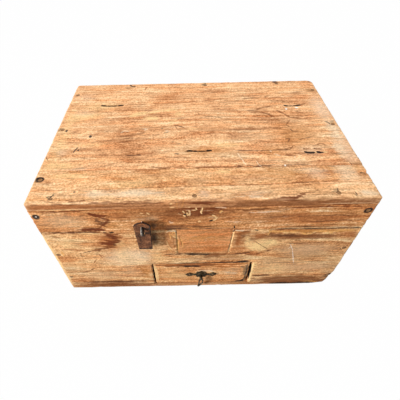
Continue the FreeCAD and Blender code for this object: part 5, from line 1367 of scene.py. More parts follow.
# The front board: arched grain on the left, torn orange wood beside the block, cracks on the right, the strap's
# painted shadow, a painted highlight down the left arris and painted shade down the right.
FRONT_BOARD_MARKS = (
    wash(UMBER, (-172, 190), (20, 30), 0.7),
    Mark(CRACK_AND_SHADE, (-230, 219), (64, 2.5), 0.92),  # dirt along the lid
    wash(ORANGE, (-172, 184), (40, 42), 0.95),  # an orange tint
    Mark(RUST, (-205, 139), (9, 2.2), 0.92, turn=-79, frayed=False),  # an arch of the grain
    Mark(RUST, (-221, 117), (11, 1.5), 0.85, turn=59, frayed=False),  # an arch of the grain
    Mark(UMBER, (-234, 85), (8, 1.9), 0.98, turn=37, frayed=False),  # an arch of the grain
    Mark(UMBER, (-250, 75), (12, 2.5), 1, turn=24, frayed=False),  # an arch of the grain
    Mark(RUST, (-243, 144), (9, 1.6), 0.73, turn=-90, frayed=False),  # an arch of the grain
    wash(CREAM, (-156, 128), (54, 35), 0.6),  # the arches' pale middle
    wash(SAND, (-212, 59), (62, 23), 0.61),  # bleached low on the left
    Mark(CLAY, (-115, 147), (9, 5.2), 0.98),  # grey below the strap
    wash(STRAW, (-88, 133), (16, 23), 0.61),  # pale beside the strap
    wash(CLAY, (-60, 183), (18, 27), 0.55),  # orange left of the drawer
    wash(RUST, (83, 184), (14, 34), 0.61),  # brown right of the block
    wash(CLAY, (61, 124), (52, 10), 0.67),  # dark below
    Mark(SAND, (31, 117), (73, 3.6), 0.73, soft=0.42),  # a pale line
    wash(CLAY, (214, 137), (82, 37), 0.67),  # grey on the right
    Mark(UMBER, (208, 141), (8, 5.2), 0.73, soft=0.42),  # a dark patch
    wash(ORANGE, (73, 209), (23, 10), 0.85),  # orange under the lid
    wash(SAND, (201, 78), (79, 21), 0.73),  # pale low on the right
    wash(SAND, (149, 101), (30, 20), 0.49),  # pale on the right
    wash(CLAY, (284, 79), (18, 34), 0.61),  # dark low on the right
    wash(RUST, (289, 191), (18, 16), 0.49),  # dirt along the right edge
    wash(UMBER, (-198, 13), (98, 16), 0.98),  # a band
    Mark(CRACK_AND_SHADE, (-195, 28), (85, 3.9), 0.98),  # a black spot
    Mark(GREY, (-292, 147), (4.4, 4.5), 0.85, frayed=False),  # the upper left nail
    Mark(PINK, (-283, 144), (3, 3.4), 1, frayed=False),  # pale beside it
    Mark(CREAM, (-294, 51), (4, 5.6), 1, frayed=False),  # the lower left nail
    Mark(CLAY, (-176, 75), (44, 3.5), 0.73, soft=0.42),
    Mark(RUST, (-136, 63), (24, 3.6), 0.73, turn=-8, soft=0.42),
    Mark(CLAY, (-246, 191), (51, 2.7), 0.67, turn=-4, soft=0.42),
    Mark(RUST, (-255, 162), (25, 2.9), 0.73, turn=-8, soft=0.42),
    Mark(GREY, (-17, 105), (27, 2.4), 0.73, soft=0.42),
    wash(HONEY, (-118, 64), (9, 36), 0.61),  # orange beside the opening
    Mark(HONEY, (-128, 82), (22, 1.5), 0.73, turn=-82, frayed=False),  # a line
    wash(STRAW, (-156, 143), (20, 30), 0.6),
    wash(CREAM, (-117, 130), (19, 23), 0.5),
    wash(STRAW, (-259, 183), (23, 17), 0.5),
    wash(SAND, (-150, 70), (22, 22), 0.6),
    wash(SAND, (212, 145), (57, 24), 0.8),
    wash(SAND, (251, 80), (35, 19), 0.7),
    wash(STRAW, (158, 75), (40, 26), 0.5),
    Mark(RUST, (110, 197), (17, 15), 0.85, soft=0.6),
    Mark(UMBER, (198, 195), (73, 8.4), 0.7, soft=0.7),
    Mark(UMBER, (24, 131), (27, 9.9), 0.75, soft=0.6),
    # the strap's painted shadow on the board, right of it, which stays when the strap swings up
    Mark(COAL_AND_SHADOW, (-90, 196), (10, 29), 0.9, soft=0.95, frayed=False),
    Mark(ORANGE, (-60, 184), (18, 34), 0.5, soft=0.95),
    Mark(ORANGE, (72, 185), (6.2, 30), 0.8, soft=0.7, frayed=False),
    Mark(BUTTER, (116, 159), (26, 15), 0.95, soft=0.7),
    Mark(BUTTER, (138, 173), (18, 12), 0.9, soft=0.7),
    Mark(STRAW, (93, 170), (9.9, 16), 0.8, soft=0.7),
    Mark(UMBER, (189, 194), (112, 5.5), 0.85, soft=0.9, frayed=False),
    Mark(CRACK_AND_SHADE, (145, 196), (38, 4.2), 0.5, soft=0.9, frayed=False),
    Mark(ORANGE, (200, 208), (76, 5), 0.9, soft=0.6, frayed=False),
    Mark(UMBER, (-209, 21), (93, 8.3), 0.6, soft=0.8, frayed=False),
    Mark(UMBER, (216, 217), (82, 8), 0.4, soft=0.9),
    Mark(UMBER, (84, 204), (28, 9.6), 0.45, soft=0.9),
    Mark(RUST, (283, 197), (27, 16), 0.5, soft=0.9),
    Mark(UMBER, (59, 182), (9.7, 17), 0.4, soft=0.9),
    Mark(STRAW, (-159, 183), (15, 17), 0.55, soft=0.9),
    Mark(CREAM, (-135, 146), (44, 22), 0.45, soft=0.9),
    Mark(CLAY, (-89, 164), (20, 10), 0.4, soft=0.9),
    Mark(SAND, (216, 152), (77, 13), 0.45, soft=0.9),
    Mark(UMBER, (9.3, 128), (41, 14), 0.35, soft=0.9),
    Mark(CLAY, (158, 111), (36, 13), 0.45, soft=0.9),
    Mark(CLAY, (-277, 83), (30, 22), 0.5, soft=0.9),
    Mark(RUST, (-271, 33), (27, 19), 0.35, soft=0.9),
    Mark(STRAW, (129, 63), (11, 18), 0.4, soft=0.9),
    Mark(RUST, (154, 33), (23, 11), 0.4, soft=0.9),
    *scratch(SOOT_AND_SHADE, 2.2, 0.9, (-182, 218), (-178, 217)),
    *scratch(SOOT_AND_SHADE, 2.6, 0.95, (-171, 216), (-164, 218)),
    *trail(STRAW, 1.6, 0.7, (-230, 215), (-212, 216), (-189, 214)),
    *trail(STAIN, 2.4, 0.85, (-168, 208), (-160, 212)),
    *trail(CRACK_AND_SHADE, 2.6, 0.75, (-182, 204), (-175, 202)),
    *trail(UMBER, 4.9, 0.6, (-178, 207), (-170, 200)),
    *trail(STAIN, 3.2, 0.9, (-172, 198), (-161, 198), (-153, 200)),
    *trail(STAIN, 3, 0.9, (-185, 192), (-176, 189)),
    Mark(STAIN, (-171, 182), (8.9, 10), 0.85, soft=0.5),
    Mark(SOOT_AND_SHADE, (-169, 176), (5.1, 4.5), 0.45, soft=0.7),
    *trail(STAIN, 3.1, 0.9, (-188, 179), (-174, 178)),
    *trail(STAIN, 3.5, 0.85, (-186, 168), (-172, 169)),
    *trail(RUST, 2.7, 0.6, (-214, 176), (-186, 177)),
    *trail(CRACK_AND_SHADE, 2.8, 0.9, (-218, 159), (-206, 159), (-193, 162)),
    *trail(CRACK_AND_SHADE, 2.4, 0.8, (-239, 152), (-227, 153), (-216, 157)),
    *trail(UMBER, 1.6, 0.65, (-212, 148), (-205, 144), (-201, 137), (-207, 126)),
    *trail(GREY, 1.2, 0.5, (-245, 150), (-244, 143), (-242, 135)),
    *scratch(PINK, 2.5, 0.9, (-10, 217), (25, 217), (61, 217)),
    *trail(GREY, 3.4, 0.7, (-66, 219), (-53, 219), soft=0.5),
    Mark(CREAM, (-50, 216), (3.7, 3.8), 0.85, soft=0.5),
    *trail(SAND, 2.8, 0.6, (-47, 215), (-21, 215), soft=0.5),
    *trail(CRACK_AND_SHADE, 3.7, 0.9, (-67, 139), (-52, 140), (-36, 139)),
    *trail(SOOT_AND_SHADE, 4.1, 0.95, (-30, 139), (-1.2, 136), (21, 137), soft=0.5),
    *trail(UMBER, 3.4, 0.85, (21, 137), (40, 135), (58, 138)),
    wash(UMBER, (71, 188), (9.7, 30), 0.6),
    *trail(CRACK_AND_SHADE, 2.5, 0.7, (72, 210), (89, 211)),
    Mark(CRACK_AND_SHADE, (83, 198), (11, 4.2), 0.65),
    *scratch(SOOT_AND_SHADE, 1.7, 0.9, (100, 217), (106, 214)),
    *scratch(STRAW, 1.6, 0.8, (107, 214), (115, 216)),
    *trail(PINK, 1.9, 0.7, (72, 216), (90, 216)),
    Mark(BUTTER, (110, 163), (17, 15), 1, soft=0.55),
    Mark(BUTTER, (137, 177), (13, 8.9), 1, soft=0.6),
    Mark(STRAW, (89, 184), (6.8, 17), 0.75, soft=0.7),
    Mark(STRAW, (119, 181), (12, 8.1), 0.7, soft=0.7),
    Mark(GREY, (98, 185), (7.8, 5.4), 0.35, soft=0.7),
    *scratch(UMBER, 1.1, 0.85, (105, 179), (121, 164), (136, 150)),
    *scratch(CRACK_AND_SHADE, 2, 0.8, (134, 144), (138, 147)),
    *trail(UMBER, 2.7, 0.7, (60, 135), (87, 133), (110, 134), (137, 142)),
    Mark(UMBER, (200, 189), (74, 8.6), 0.65, soft=0.6),
    *trail(CRACK_AND_SHADE, 3.5, 0.7, (130, 201), (155, 198), (189, 194)),
    Mark(HONEY, (216, 207), (86, 5.4), 0.95, soft=0.35),
    *crack(STRAW, 0.9, 1, (126, 217), (127, 211)),
    *crack(STRAW, 1.5, 1, (127, 199), (128, 208), (132, 210)),
    *scratch(GOLD, 2.5, 0.95, (131, 209), (148, 207), (159, 209)),
    *scratch(STRAW, 1.6, 0.8, (154, 204), (168, 203), (186, 204)),
    *scratch(STRAW, 1.8, 0.9, (202, 201), (210, 199), (219, 207)),
    *scratch(STRAW, 1.9, 0.9, (230, 202), (248, 200), (255, 207), (271, 209)),
    *scratch(SOOT_AND_SHADE, 1.9, 0.95, (133, 216), (184, 215), (230, 214), (277, 215), (306, 215)),
    *trail(CRACK_AND_SHADE, 1.8, 0.6, (170, 168), (195, 169), (243, 172)),
    *scratch(COAL_AND_SHADOW, 0.8, 0.85, (279, 152), (285, 144)),
    *scratch(STRAW, 2.3, 0.9, (284, 149), (289, 152)),
    *trail(CRACK_AND_SHADE, 1.6, 0.45, (146, 117), (208, 119), (270, 120)),
    *trail(CRACK_AND_SHADE, 2.1, 0.45, (132, 97), (192, 97), (255, 101)),
    *scratch(CHALK_AND_HIGHLIGHT, 0.9, 0.8, (177, 166), (186, 146), (200, 95)),
    *crack(CREAM, 1.2, 0.8, (176, 151), (180, 159)),
    Mark(UMBER, (214, 21), (98, 21), 0.85, soft=0.35),
    *trail(CRACK_AND_SHADE, 4.2, 0.9, (119, 43), (137, 44), (155, 44)),
    *trail(SOOT_AND_SHADE, 5, 0.95, (164, 4.8), (214, 4.8), (265, 5.7)),
    *trail(CLAY, 3.8, 0.6, (161, 37), (181, 39)),
    *trail(SOOT_AND_SHADE, 5, 0.9, (283, 38), (293, 44), (305, 41)),
    wash(CRACK_AND_SHADE, (294, 32), (16, 17), 0.5),
    *trail(GOLD, 2.3, 0.55, (242, 13), (279, 8.1)),
    # painted shade down the right arris
    *crack(COAL_AND_SHADOW, 1.5, 0.8, (298, 167), (300, 95), (301, 39)),
    *trail(STRAW, 4.4, 1, (114, 98), (114, 81), (115, 60)),
    *trail(STRAW, 3, 1, (114, 60), (114, 37), (113, 10)),
    *scratch(STRAW, 1.8, 1, (119, 96), (124, 88)),
    *trail(SOOT_AND_SHADE, 3.7, 0.95, (46, 101), (76, 104), (108, 106)),
    *trail(COAL_AND_SHADOW, 2.9, 0.8, (-95, 99), (-54, 100), (-0.5, 102), (46, 101)),
    *trail(STAIN, 5.8, 0.85, (-182, 216), (-170, 206), (-161, 195)),
    *trail(STAIN, 7.9, 0.9, (-191, 180), (-177, 183), (-162, 190)),
    *trail(UMBER, 4.8, 0.75, (-218, 159), (-194, 164), (-173, 171)),
    # painted highlight down the left arris, which faces the lamp
    *scratch(STRAW, 3.2, 0.95, (-297, 207), (-296, 148), (-296, 75), (-296, 29)),
    *scratch(GOLD, 2.4, 0.9, (-280, 157), (-279, 142)),
    *scratch(STRAW, 2.8, 0.9, (-295, 150), (-286, 146), (-282, 140)),
    *trail(GOLD, 2.8, 0.8, (-18, 216), (16, 216), (57, 216)),
    *crack(CREAM, 2.2, 0.95, (64, 216), (72, 215), (79, 215)),
    *crack(SOOT_AND_SHADE, 1.5, 1, (61, 219), (60, 212)),
    *trail(CREAM, 2, 0.6, (-68, 214), (-60, 218), (-49, 217), soft=0.6),
    *scratch(GOLD, 1.7, 0.9, (-55, 209), (-52, 216), (-48, 210)),
    *scratch(GOLD, 2.1, 1, (-49, 212), (-46, 189), (-46, 147)),
    *scratch(GOLD, 1.3, 0.85, (-61, 212), (-59, 203), (-58, 193)),
    *scratch(STRAW, 1.1, 0.8, (-67, 186), (-64, 169), (-57, 154)),
    *scratch(UMBER, 1.2, 0.45, (-53, 199), (-53, 179), (-52, 158)),
    *trail(CRACK_AND_SHADE, 3, 0.8, (71, 137), (87, 137), (102, 143)),
    *crack(GOLD, 1.7, 1, (126, 218), (129, 208), (127, 199)),
    *trail(GOLD, 2.8, 0.95, (129, 209), (144, 209), (163, 207), (179, 204)),
    *scratch(GOLD, 1.9, 0.95, (189, 202), (201, 199), (212, 201)),
    *trail(GOLD, 2.7, 0.95, (212, 206), (231, 207), (251, 202)),
    *trail(GOLD, 2.6, 0.95, (251, 202), (255, 208), (269, 209), (290, 208)),
    *scratch(SOOT_AND_SHADE, 3.3, 0.95, (14, 101), (53, 103), (104, 102)),
    *trail(CRACK_AND_SHADE, 2.9, 0.8, (-60, 98), (-22, 100), (14, 101)),
    *scratch(BUTTER, 2.7, 1, (114, 98), (115, 68), (115, 37), (116, 4.8)),
    *scratch(BUTTER, 2.3, 0.9, (116, 90), (124, 83)),
)

# The let-in block and the seams about it.
LET_IN_BLOCK_MARKS = (
    wash(HONEY, (4, 194), (42, 10), 0.73),  # newer, pinker wood
    wash(ORANGE, (27, 155), (28, 11), 0.67),  # dark low on the right
    Mark(CLAY, (7, 212), (49, 3.8), 0.61, soft=0.42),  # along the top
    *scratch(STRAW, 1.9, 0.95, (-48, 212), (-47, 202), (-46, 192)),
    *scratch(GOLD, 2.3, 0.95, (-46, 192), (-44, 175), (-46, 150)),
    *scratch(GOLD, 1.7, 0.85, (-40, 195), (-37, 184), (-36, 161)),
    *scratch(UMBER, 1.1, 0.75, (-43, 205), (-40, 189), (-37, 168)),
    *scratch(GOLD, 1.5, 0.8, (-60, 203), (-55, 207), (-52, 201)),
    *scratch(STRAW, 2.2, 0.85, (-53, 201), (-49, 197)),
    *scratch(GOLD, 1.3, 0.75, (-65, 162), (-60, 149)),
    *scratch(STRAW, 1.7, 0.85, (-52, 151), (-47, 145)),
    *trail(SAND, 1.9, 0.5, (-21, 200), (-4.2, 200), soft=0.5),
    *trail(SAND, 1.5, 0.55, (7.7, 182), (13, 194), (24, 196), soft=0.5),
    *trail(SAND, 1.2, 0.45, (-21, 191), (-16, 185), (-16, 174), soft=0.5),
    *crack(STRAW, 1.4, 0.95, (61, 211), (60, 192), (59, 175), (57, 142)),
    *crack(COAL_AND_SHADOW, 1, 0.8, (59, 205), (57, 175), (55, 145)),
)

# Painted shade in the gaps about the drawer, black down both sides of the opening.
DRAWER_GAP_PAINTED_SHADE = (
    Mark(SOOT_AND_SHADE, (110.2, 57), (2.9, 43), 1, soft=0.15, frayed=False, depth=DEEP),
    Mark(SOOT_AND_SHADE, (-102.2, 57), (1.7, 43), 1, soft=0.15, frayed=False, depth=DEEP),
)

# The drawer's front: handled pale at its middle and dark along its edges, with painted light down its left edge and
# painted shade down its right edge and lower right corner.
DRAWER_FRONT_MARKS = (
    # painted light on the left edge, which faces the lamp
    Mark(STRAW, (-96, 58), (37, 3.6), 1, turn=-89, frayed=False),  # pale on the left
    Mark(RUST, (-22, 94), (73, 6.7), 0.98),  # a band along the top
    Mark(SOOT_AND_SHADE, (-22, 89), (26, 3.4), 1, turn=-4),  # a dark streak
    Mark(ORANGE, (60, 93), (48, 5.8), 0.85),  # the band on the right
    Mark(ORANGE, (49, 83), (38, 3), 0.85),  # an orange line
    wash(STRAW, (-50, 52), (36, 20), 0.45),  # pale in the middle
    wash(SAND, (71, 61), (27, 22), 0.5),  # pale on the right
    Mark(UMBER, (13, 9), (104, 4.5), 0.73),  # a low line
    # painted shade down the right edge, which turns from the lamp, and round the lower right corner
    Mark(GREY, (100, 65), (4.9, 29), 0.7, soft=0.6, frayed=False),
    *scratch(COAL_AND_SHADOW, 2.9, 0.95, (102, 90), (104, 64), (103, 37)),
    *scratch(SOOT_AND_SHADE, 2.4, 1, (105, 42), (101, 26), (94, 18)),
    *scratch(SOOT_AND_SHADE, 5.4, 1, (84, 16), (99, 17)),
    *trail(CRACK_AND_SHADE, 4, 0.85, (62, 11), (85, 15)),
    *scratch(COAL_AND_SHADOW, 2.7, 0.85, (89, 82), (95, 80)),
    *trail(UMBER, 4.6, 0.85, (-93, 93), (-54, 89), (-0.3, 90), (32, 92), soft=0.5),
    *scratch(SOOT_AND_SHADE, 3.8, 1, (-35, 88), (-18, 88), (-0.3, 88)),
    *trail(CREAM, 5, 0.7, (-4.3, 67), (18, 69), (31, 63), soft=0.6),
    *trail(CREAM, 3.5, 0.6, (54, 60), (70, 54), (85, 56), soft=0.6),
    # painted highlight down the left edge
    *crack(BUTTER, 2, 1, (-100, 96), (-99, 72), (-99, 33)),
    *crack(SOOT_AND_SHADE, 2, 1, (-103, 19), (-98, 11)),
    # painted shade down the right edge
    *scratch(SOOT_AND_SHADE, 2.7, 1, (108, 94), (110, 64), (110, 32)),
    *scratch(SOOT_AND_SHADE, 3.4, 1, (111, 42), (105, 23), (91, 16)),
)

# The bottom board's front edge.
BOTTOM_EDGE_MARKS = (
    Mark(HONEY, (2, 4), (108, 4.5), 0.85),  # rubbed pale under the drawer
    Mark(SAND, (6, 8), (90, 8), 0.6, soft=0.8),
)


@dataclass
class ChestBody:
    """The nailed box: bottom, front with its let-in block, back, sides and the fittings of its inside."""

    slot: str = "weathered_wood"
    nails: tuple[Pair, ...] = ((-289, 144), (-289, 53), (289, 150), (289, 40))
    opening: Cut = Cut((-103, 112), (10, 101))
    recess: Cut = Cut((-45.6, 58.6), (143, 230), 10)
    splinters: tuple[Cut, ...] = (Cut((127, 298), (199, 225), 1.8), Cut((-300, -262), (212, 225), 1.2))
    blow: Knock = Knock((300, -205, 14), 12.0, 45.0)
    low_blow: Knock = Knock((300, -205, 0), 12.0, 45.0)
    seam: float = 14.0

    def build(self) -> None:
        """Builds the body's boards and fittings."""
        self.front()
        WornBoard("back_board", "chest", self.slot, Axis.Y,
                  Timber("weathered_teak_back_board", Axis.X, body="#d59d69", seed=3.0), cell=(8.0, 4.0),
                  wear=(2.5, 2.5, 0.0, 2.0, 0.5, 1.4), nails=self.nails).build()
        for name, seed, wear in (("left_side_board", 4.0, (1.6, 0.0)), ("right_side_board", 5.0, (0.0, 1.6))):
            WornBoard(name, "chest", self.slot, Axis.X,
                      Timber(f"weathered_teak_{name}", Axis.Y, body="#d59d69", seed=seed),
                      cell=(6.0, 4.0), wear=(*wear, 0.6, 0.6, 0.6, 1.4)).build()
        # The front's marks that come down to the seam go on over the bottom board's edge.
        low = tuple(m for m in FRONT_BOARD_MARKS if m.at[1] - m.size[1] < self.seam)
        WornBoard("bottom_board", "chest", self.slot, Axis.Z,
                  Timber("weathered_teak_bottom_board", Axis.X, body="#b98557", pale="#d9a878", seed=6.0,
                         shade=-0.08, marks={Plane.FRONT: low + BOTTOM_EDGE_MARKS}),
                  cell=(8.0, 6.0), wear=(2.4, 2.4, 2.4, 2.4, 2.0, 0.6), corners={(1, -1): 10.0},
                  knocks=(self.low_blow,)).build()
        self.inside()
        for name in ("body_nails", "bottom_nails"):
            Fitting(name, "chest", "forged_iron", Finish.NAIL, ease=0.3, dent=0.12, dent_size=3.0, rim=0.7).build()
        for name in ("left_hinge_lower_leaf", "right_hinge_lower_leaf", "hinge_pins", "lower_hinge_screws"):
            Fitting(name, "chest", "hinge_iron", Finish.IRON, ease=0.3, dent=0.15).build()

    def front(self) -> None:
        """Builds the front board, notched for the drawer, and the block let into it."""
        marks = {Plane.FRONT: FRONT_BOARD_MARKS + LET_IN_BLOCK_MARKS + DRAWER_GAP_PAINTED_SHADE}
        WornBoard("front_board", "chest", self.slot, Axis.Y,
                  Timber("weathered_teak_front_board", Axis.X, body="#e2a66e", pale="#f8d09a", heart=(30, -160),
                         seed=1.0, marks=marks),
                  wear=(2.5, 2.5, 2.0, 0.0, 0.5, 1.4), nails=self.nails, cuts=(self.opening, self.recess),
                  chips=self.splinters, knocks=(self.blow,)).build()
        WornBoard("front_patch", "chest", "patch_wood", Axis.Y,
                  Timber("red_teak_let_in_block", Axis.X, deep="#8f5028", dark="#c27c48", body="#dd955c",
                         pale="#ecae76", bleached="#f8c896", heart=(10, -60), seed=2.0, contrast=0.6,
                         marks={Plane.FRONT: LET_IN_BLOCK_MARKS}),
                  cell=(3.0, 2.5), wear=(0.3, 0.3, 0.8, 0.5, 0.6, 1.2)).build()

    def inside(self) -> None:
        """Builds the compartment's floor and what it stands on."""
        WornBoard("compartment_floor", "chest", "inner_wood", Axis.Z, sawn("compartment_floor", Axis.X, 21.0),
                  cell=(10.0, 8.0), wear=(0.6,) * 6).build()
        for side, seed in (("left", 22.0), ("right", 24.0)):
            WornBoard(f"{side}_drawer_guide", "chest", "inner_wood", Axis.X, sawn(f"{side}_guide", Axis.Y, seed),
                      cell=(8.0, 8.0), wear=(0.8,) * 6).build()
            WornBoard(f"{side}_floor_cleat", "chest", "inner_wood", Axis.X, sawn(f"{side}_cleat", Axis.Y, seed + 1),
                      cell=(8.0, 5.0), wear=(0.8,) * 6).build()


@dataclass
class Lid:
    """The framed lid: three boards over four rails."""

    slot: str = "weathered_wood"
    # Half a slit's width, then each slit's two ends and its place from front to back.
    slit: float = 1.75
    slits: tuple[Triple, ...] = (
        (-220, -170, 102), (-25, 25, -73), (203, 241, 102), (203.5, 219.5, -73), (224.5, 240.5, -73))
    rear_nails: tuple[Pair, ...] = (
        (-154, 192), (27, 192), (208, 192), (-289, 155), (-289, 8), (289, 155), (289, 8))
    middle_nails: tuple[Pair, ...] = ((-289, -146), (289, -146))
    strip_nails: tuple[Pair, ...] = ((-257, -192), (-13, -192), (231, -192))
    rail_nails: tuple[Pair, ...] = ((-289, 266.5), (289, 266.5))
    middle_taper: Taper = Taper(-1, 0.0, 8.9)
    strip_taper: Taper = Taper(1, 9.5, 0.0)

    def build(self) -> None:
        """Builds the lid's boards, rails and fittings."""
        self.top()
        self.rails()
        for name, finish in (("lid_top_nails", Finish.NAIL), ("lid_rail_nails", Finish.RAIL_NAIL)):
            Fitting(name, "lid", "forged_iron", finish, ease=0.3, dent=0.12, dent_size=3.0, rim=0.7).build()
        for name in ("left_hinge_upper_leaf", "right_hinge_upper_leaf", "upper_hinge_screws"):
            Fitting(name, "lid", "hinge_iron", Finish.IRON, ease=0.3, dent=0.15).build()
        Fitting("hasp_staple", "lid", "worn_iron", Finish.BRIGHT, ease=0.4, dent=0.12, cell=1.5).build()
        Fitting("hasp_strap", "hasp", "rusted_iron", Finish.RUST, ease=0.55, dent=0.35).build()

    def top(self) -> None:
        """Builds the three boards of the top."""
        slits = tuple(Cut((left, right), (at - self.slit, at + self.slit)) for left, right, at in self.slits)
        WornBoard("lid_rear_board", "lid", self.slot, Axis.Z,
                  Timber("weathered_teak_rear_board", Axis.X, heart=(-20, -240), seed=7.0,
                         marks={Plane.TOP: REAR_BOARD_MARKS}),
                  cell=(5.0, 2.6), wear=(2.6, 2.6, 0.9, 2.4, 0.0, 2.0), cuts=slits, nails=self.rear_nails,
                  corners={(1, 1): 15.0, (-1, 1): 6.0}).build()
        WornBoard("lid_middle_board", "lid", self.slot, Axis.Z,
                  Timber("weathered_teak_middle_board", Axis.X, body="#e3a971", heart=(10, -120), seed=8.0,
                         marks={Plane.TOP: MIDDLE_BOARD_MARKS}),
                  cell=(5.0, 2.4), wear=(2.6, 2.6, 0.9, 0.9, 0.0, 2.0), nails=self.middle_nails,
                  taper=self.middle_taper).build()
        WornBoard("lid_front_strip", "lid", self.slot, Axis.Z,
                  Timber("weathered_teak_front_strip", Axis.X, body="#e4b27e", heart=(15, -90), seed=9.0,
                         shade=0.05, rubbed=0.4,
                         marks={Plane.TOP: FRONT_STRIP_MARKS, Plane.FRONT: STRIP_EDGE_MARKS}),
                  cell=(5.0, 2.4), wear=(2.6, 2.6, 2.6, 0.9, 0.5, 2.4), nails=self.strip_nails,
                  taper=self.strip_taper).build()

    def rails(self) -> None:
        """Builds the four rails under the top."""
        WornBoard("lid_front_rail", "lid", self.slot, Axis.Y,
                  Timber("weathered_teak_front_rail", Axis.X, body="#d18d55", pale="#e6ab72", dark="#b06e3e",
                         heart=(12, -100), seed=10.0, marks={Plane.FRONT: FRONT_RAIL_MARKS}),
                  cell=(5.0, 2.6), wear=(2.5, 2.5, 1.4, 0.0, 1.6, 0.8), nails=self.rail_nails).build()
        WornBoard("lid_back_rail", "lid", self.slot, Axis.Y,
                  Timber("weathered_teak_back_rail", Axis.X, body="#d09765", seed=11.0), cell=(8.0, 4.0),
                  wear=(2.5, 2.5, 0.0, 1.4, 1.4, 0.8), nails=self.rail_nails).build()
        for name, seed, wear in (("lid_left_rail", 12.0, (1.6, 0.0)), ("lid_right_rail", 13.0, (0.0, 1.6))):
            WornBoard(name, "lid", self.slot, Axis.X,
                      Timber(f"weathered_teak_{name}", Axis.Y, body="#d59d69", seed=seed),
                      cell=(6.0, 4.0), wear=(*wear, 0.6, 0.6, 1.4, 0.8)).build()


@dataclass
class Drawer:
    """The drawer: its front, its plain box and the drop pull."""

    blow: Knock = Knock((108, -204, 14), 5.0, 26.0)

    def build(self) -> None:
        """Builds the drawer's boards and fittings."""
        WornBoard("drawer_front", "drawer", "drawer_wood", Axis.Y,
                  Timber("weathered_teak_drawer_front", Axis.X, dark="#b4743f", body="#dd9a60", pale="#f2bc82",
                         heart=(8, -70), seed=14.0, marks={Plane.FRONT: DRAWER_FRONT_MARKS + DRAWER_GAP_PAINTED_SHADE}),
                  cell=(3.0, 2.4), wear=(1.8, 3.0, 1.6, 0.4, 1.4, 1.4), knocks=(self.blow,)).build()
        for name, across, grain, seed in (("drawer_left_side", Axis.X, Axis.Y, 31.0),
                                          ("drawer_right_side", Axis.X, Axis.Y, 32.0),
                                          ("drawer_back", Axis.Y, Axis.X, 33.0),
                                          ("drawer_bottom", Axis.Z, Axis.X, 34.0)):
            WornBoard(name, "drawer", "inner_wood", across, sawn(name, grain, seed), cell=(8.0, 6.0),
                      wear=(0.7,) * 6).build()
        Fitting("drawer_nails", "drawer", "forged_iron", Finish.NAIL, ease=0.2, dent=0.1, dent_size=3.0,
                rim=0.5).build()
        for name in ("pull_plate", "pull_nails", "pull_pin", "pull_washer", "pull_post"):
            finish = Finish.NAIL if name == "pull_nails" else Finish.BRASS
            Fitting(name, "drawer", "aged_brass", finish, ease=0.25, dent=0.06, cell=1.6, dent_size=5.0,
                    rim=0.8).build()
        Fitting("pull_drop", "pull", "aged_brass", Finish.RUBBED_BRASS, ease=0.3, dent=0.06, cell=1.4,
                rim=0.8).build()


@dataclass(frozen=True)
class Lamp:
    """A round soft lamp: where it stands and its width, in metres, and its power in watts."""

    name: str
    place: Triple
    width: float
    power: float

    def build(self, aim: Triple) -> None:
        """Sets the lamp up.

        Args:
            aim: the point that it faces, in metres.
        """
        data = bpy.data.lights.new(self.name, "AREA")
        data.shape = "DISK"
        data.size = self.width
        data.energy = self.power
        lamp = bpy.data.objects.new(self.name, data)
        lamp.location = self.place
        lamp.rotation_euler = (Vector(aim) - Vector(self.place)).to_track_quat("-Z", "Y").to_euler()
        bpy.context.scene.collection.objects.link(lamp)


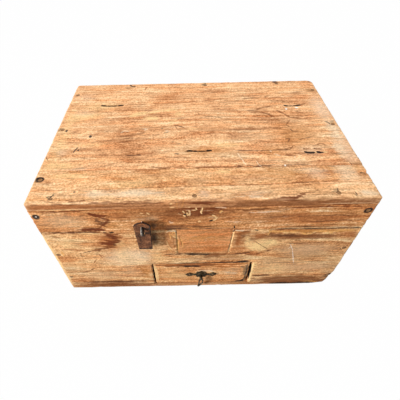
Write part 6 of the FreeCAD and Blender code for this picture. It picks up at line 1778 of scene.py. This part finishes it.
@dataclass
class Studio:
    """A pale floor, soft light and the camera.

    The lens, its centre and the picture's width are in pixels, the turns in degrees and the stand in millimetres.
    """

    focal: float = 307.28
    centre: Pair = (184.83, 194.51)
    pitch: float = 46.796
    yaw: float = 0.406
    roll: float = -1.480
    stand: Triple = (-26.7, -546.4, 680.2)
    picture: float = 400.0
    sensor: float = 36.0
    floor_half: float = 6.0
    floor_glow: float = 0.99
    sky: float = 0.25
    aim: Triple = (0.0, 0.0, 0.15)
    # The window stands low to the left, so the strap throws its shadow to the right.
    lamps: tuple[Lamp, ...] = (Lamp("window", (-4.0, -2.3, 1.5), 0.8, 240.0),
                               Lamp("softbox", (0.1, 0.7, 2.6), 1.6, 37.0))

    def build(self) -> None:
        """Builds the floor, the lamps, the world and the camera."""
        self.floor()
        self.lights()
        self.camera()

    def camera(self) -> None:
        """Sets the camera up from its measured place, turn and lens."""
        pitch, yaw, roll = (math.radians(v) for v in (self.pitch, self.yaw, self.roll))
        turn = Matrix.Rotation(yaw, 3, "Z")
        ahead = turn @ Vector((0, math.cos(pitch), -math.sin(pitch)))
        up = turn @ Vector((0, math.sin(pitch), math.cos(pitch)))
        right = turn @ Vector((1, 0, 0))
        rolled_right = right * math.cos(roll) + up * math.sin(roll)
        rolled_up = up * math.cos(roll) - right * math.sin(roll)
        data = bpy.data.cameras.new("camera")
        data.sensor_width = self.sensor
        data.lens = self.focal * self.sensor / self.picture
        data.shift_x = (self.picture / 2 - self.centre[0]) / self.picture
        data.shift_y = (self.centre[1] - self.picture / 2) / self.picture
        data.clip_start = 0.01
        camera = bpy.data.objects.new("camera", data)
        place = Matrix((rolled_right, rolled_up, -ahead)).transposed().to_4x4()
        place.translation = Vector(self.stand) * MM
        camera.matrix_world = place
        bpy.context.scene.collection.objects.link(camera)
        bpy.context.scene.camera = camera

    def floor(self) -> None:
        """Lays the floor: white to the camera, and still holding the chest's shadow."""
        bm = bmesh.new()
        bmesh.ops.create_grid(bm, x_segments=1, y_segments=1, size=self.floor_half)
        mesh = bpy.data.meshes.new("floor")
        bm.to_mesh(mesh)
        bm.free()
        floor = bpy.data.objects.new("floor", mesh)
        bpy.context.scene.collection.objects.link(floor)
        material = bpy.data.materials.new("matt_white_floor")
        tree = cleared(material)
        seen = add(tree, "LightPath")
        matt = add(tree, "BsdfDiffuse", {"Color": linear("#c4c2be")})
        glow = add(tree, "Emission", {"Color": linear("#ffffff"), "Strength": 1.0})
        share = add(tree, "Math", {0: seen.outputs["Is Camera Ray"], 1: self.floor_glow}, operation="MULTIPLY")
        both = add(tree, "MixShader", {0: share.outputs[0], 1: matt.outputs[0], 2: glow.outputs[0]})
        add(tree, "OutputMaterial", {0: both.outputs[0]})
        mesh.materials.append(material)

    def lights(self) -> None:
        """Sets the even sky, the low window on the left and the softbox overhead."""
        world = bpy.data.worlds.new("studio_sky")
        bpy.context.scene.world = world
        tree = cleared(world)
        seen = add(tree, "LightPath")
        level = add(tree, "MapRange", {"Value": seen.outputs["Is Camera Ray"], "To Min": self.sky, "To Max": 1.0})
        sky = add(tree, "Background", {"Color": linear("#ffffff"), "Strength": level.outputs[0]})
        add(tree, "OutputWorld", {0: sky.outputs[0]})
        for lamp in self.lamps:
            lamp.build(self.aim)
        bpy.context.scene.view_settings.view_transform = "Standard"


def main() -> None:
    """Builds the chest in order and reports each piece."""
    logging.basicConfig(level=logging.INFO, format="%(name)s: %(message)s")
    Studio().build()
    ChestBody().build()
    Lid().build()
    Drawer().build()


if __name__ == "__main__":
    main()
